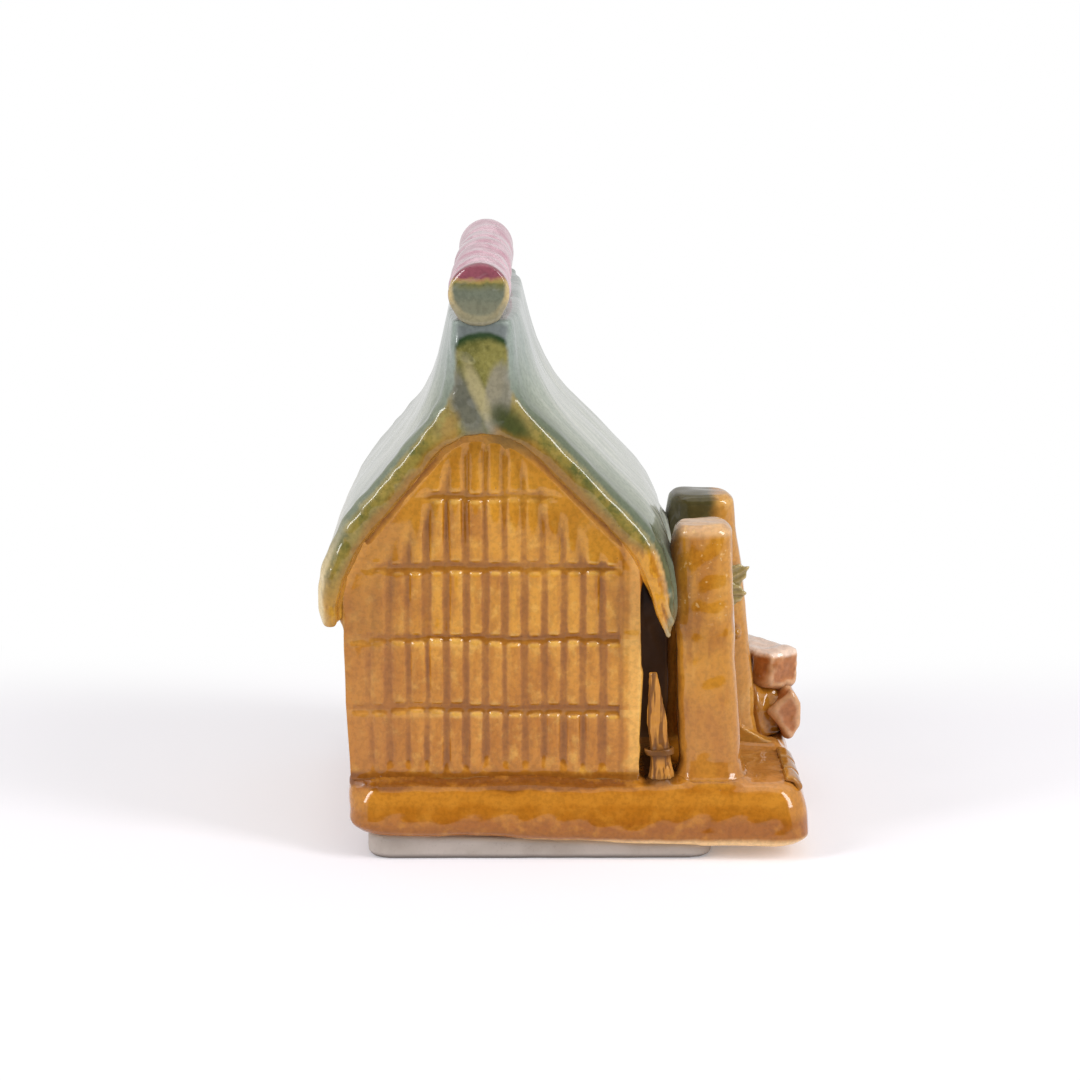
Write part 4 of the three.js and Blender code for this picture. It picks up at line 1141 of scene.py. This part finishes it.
def broad_leaf(points, normals):
    """A wider blade with ridges along it. Its width is its second longest direction."""
    middle = points.mean(axis=0)
    across = np.linalg.svd(points - middle, full_matrices=False)[2][1]
    side = (points - middle) @ across
    points = points + 0.55 * side[:, None] * across
    vein_pitch = 0.5
    return points + normals * (0.07 * np.cos(side * 2 * np.pi / vein_pitch))[:, None]


# Clay that fills out the woodpile: middle and radii of each dab, and the turn of a squared one
DABS = {
    "split_log_2": (((28.75, 0.62, 16.75), (2.05, 1.25, 1.8), 0.6),),
    "split_log_3": (((26.4, 0.0, 11.6), (3.2, 2.2, 3.3)), ((25.2, 1.6, 13.2), (2.6, 2.6, 2.6))),
}
RIBS = ("step_rib_1", "step_rib_2", "step_rib_3")
LEAVES = ("sprig_leaf_1", "sprig_leaf_2", "sprig_leaf_3")
base_amber = base_glaze("base amber glaze")
foot_clay = bare_clay("bare clay")
post_amber = post_glaze("near post glaze", post_low.x + 0.4)
far_amber = far_post_glaze("far post glaze", far_low.x + 4.6)
split = (0.18, 16, 0.12, 2.5, log_amber, "amber_glaze", 0.7, plump)
rib = (0.12, 12, 0.05, 2.0, plain_amber, "amber_glaze", 0.3, worn_rib)
leaf = (0.08, 2, 0.04, 1.0, leaf_green, "olive_glaze", 0.1, broad_leaf)
# Each piece: its skin's grain and rounds of rubbing, how uneven and over what length, its glaze and slot,
# how far it climbs at its joints, and what shapes it further
RUBBED = (
    ("base_slab", 0.32, 6, 0.14, 7.0, base_amber, "amber_glaze", 0.8, narrow_slab),
    ("foot_slab", 0.35, 3, 0.06, 6.0, foot_clay, "bare_clay", 0.15, None),
    ("near_post", 0.2, 6, 0.10, 5.0, post_amber, "amber_glaze", 0.6, leaning_post),
    ("far_post", 0.22, 6, 0.10, 5.0, far_amber, "amber_glaze", 0.6, low_root),
    ("porch_screen", 0.2, 5, 0.08, 3.0, painted_shade, "dark_glaze", 0.5, taller_screen),
    ("split_log_1", *split),
    ("split_log_2", *split),
    ("split_log_3", 0.18, 16, 0.12, 2.5, plain_amber, "amber_glaze", 0.7, None),
    ("split_log_4", *split),
    ("sprig_stem", 0.08, 3, 0.03, 1.5, leaf_green, "olive_glaze", 0.1, None),
    ("sprig_berry", 0.08, 3, 0.03, 1.0, plain_amber, "amber_glaze", 0.1, None),
    *((node, *rib) for node in RIBS),
    ("sheaf_band", 0.08, 2, 0.02, 1.0, tie_glaze, "dark_glaze", 0.05, full_sheaf),
    ("straw_sheaf", 0.09, 3, 0.05, 1.2, straw, "straw_glaze", 0.15, full_sheaf),
    *((node, *leaf) for node in LEAVES),
)
FIRST_SEED = 40
for seed, (node, voxel, rounds, amount, size, material, slot, climb, shape) in enumerate(RUBBED, FIRST_SEED):
    apart = ("foot_slab", *RIBS) if node == "base_slab" else ()
    reach = 1.8 if node.startswith("split_log") else 1.1
    rubbed = rub(node, voxel, rounds, amount, size, seed, shape)
    glaze_over(rubbed, [node], material, climb, apart, reach)


# Stage, lamps and camera, in metres

def plain_sheet(name, corners, material):
    mesh = bpy.data.meshes.new(name)
    mesh.from_pydata([Vector(corner) for corner in corners], [], [(0, 1, 2, 3)])
    mesh.materials.append(material)
    made = link(name, mesh)
    return made


def floor_material():
    """White paper that takes a lilac shadow and fades to plain white away from the hut."""
    paper = Glaze("floor paper")
    behind = paper.step(paper.y, 32.0, 75.0)
    aside = paper.step(abs(paper.x), 95.0, 180.0)
    before = paper.step(0 - paper.y, 60.0, 140.0)
    away = paper.math("MAXIMUM", behind, paper.math("MAXIMUM", aside, before))
    diffuse = paper.node("ShaderNodeBsdfDiffuse", None, {"Color": (0.98, 0.94, 1.0, 1.0)})
    glow = paper.node("ShaderNodeEmission", None, {"Color": (1.0, 1.0, 1.0, 1.0), "Strength": 1.0})
    beside = paper.math("MAXIMUM", abs(paper.x - 4.5) - 26.0, abs(paper.y) - 22.0)
    fade = 0.15 + 0.30 * paper.step(beside, -7.0, 9.0) + 0.55 * away
    mixed = paper.node("ShaderNodeMixShader", None, {0: fade, 1: diffuse, 2: glow})
    paper.node("ShaderNodeOutputMaterial", None, {"Surface": mixed})
    return paper.material


def flag_material(name, tone):
    """The even tone of a flag that only glossy reflections show."""
    flag = Glaze(name)
    shader = flag.node("ShaderNodeEmission", None, {"Color": (tone, tone, tone, 1.0)})
    flag.node("ShaderNodeOutputMaterial", None, {"Surface": shader})
    return flag.material


plain_sheet("floor", [(-3, -3, 0), (3, -3, 0), (3, 3, 0), (-3, 3, 0)], floor_material())
dark = flag_material("dark flag", 0.03)
grey = flag_material("grey flag", 0.72)
ROOM = 0.9
ROOM_TOP = 1.3
LIFT = 0.0005
# Each flag is an oblong: its half width, and the depth and height of its first and its second long edge
for name, paint, half, (y1, z1), (y2, z2) in (
    ("floor_flag", dark, ROOM, (-ROOM, LIFT), (-0.185, LIFT)),
    ("room_flag", dark, ROOM, (-ROOM, 0.0), (-ROOM, ROOM_TOP)),
    ("roof_flag", dark, ROOM, (-ROOM, ROOM_TOP), (-0.1, ROOM_TOP)),
    ("back_flag", grey, 0.6, (0.13, 0.0), (0.13, 0.25)),
):
    corners = [(-half, y1, z1), (half, y1, z1), (half, y2, z2), (-half, y2, z2)]
    flag = plain_sheet(name, corners, paint)
    flag.visible_camera = False
    flag.visible_diffuse = False
    flag.visible_shadow = False


HUT_MIDDLE = Vector((0.0, 0.0, 0.03))


def lamp(name, azimuth, elevation, distance, width, height, power):
    """An oblong softbox that looks at the hut's middle. Azimuth 0 is the camera's side, 90 is +X."""
    light = bpy.data.lights.new(name, "AREA")
    light.shape = "RECTANGLE"
    light.size = width
    light.size_y = height
    light.energy = power
    around, up = math.radians(azimuth), math.radians(elevation)
    heading = Vector((math.sin(around) * math.cos(up), -math.cos(around) * math.cos(up), math.sin(up)))
    made = link(name, light)
    made.location = HUT_MIDDLE + heading * distance
    made.rotation_euler = (-heading).to_track_quat("-Z", "Y").to_euler()


lamp("right_softbox", 60, 32, 0.65, 0.16, 0.45, 2.6)
lamp("left_softbox", -60, 32, 0.65, 0.12, 0.45, 2.0)
lamp("overhead_softbox", 10, 78, 0.8, 0.7, 0.7, 1.3)

world = bpy.data.worlds.new("studio")
bpy.context.scene.world = world
world.use_nodes = True
world.node_tree.nodes.clear()
sky = Bench(world.node_tree)
seen = [sky.node("ShaderNodeLightPath", out=f"Is {ray} Ray") for ray in ("Camera", "Glossy", "Transmission")]
backdrop = sky.math("MINIMUM", seen[0] + seen[1] + seen[2], 1.0)
DAYLIGHT = 0.36
strength = DAYLIGHT + (1 - DAYLIGHT) * backdrop
air = sky.node("ShaderNodeBackground", None, {"Color": (1.0, 1.0, 1.0, 1.0), "Strength": strength})
sky.node("ShaderNodeOutputWorld", None, {"Surface": air})

# The camera that matches the photo, whose focal length was measured in pixels
PICTURE_PX = 1080
FOCAL_PX = 2540
EYE_BACK = 0.298
EYE_H = 0.0961
LOOK_DOWN = 12
camera = bpy.data.cameras.new("camera")
camera.sensor_width = 36.0
camera.lens = camera.sensor_width * FOCAL_PX / PICTURE_PX
camera.clip_start = 0.01
eye = link("camera", camera)
eye.location = (0.0, -EYE_BACK, EYE_H)
eye.rotation_euler = (math.radians(90 - LOOK_DOWN), 0.0, 0.0)
bpy.context.scene.camera = eye
bpy.context.scene.view_settings.view_transform = "Standard"

bpy.context.view_layer.update()
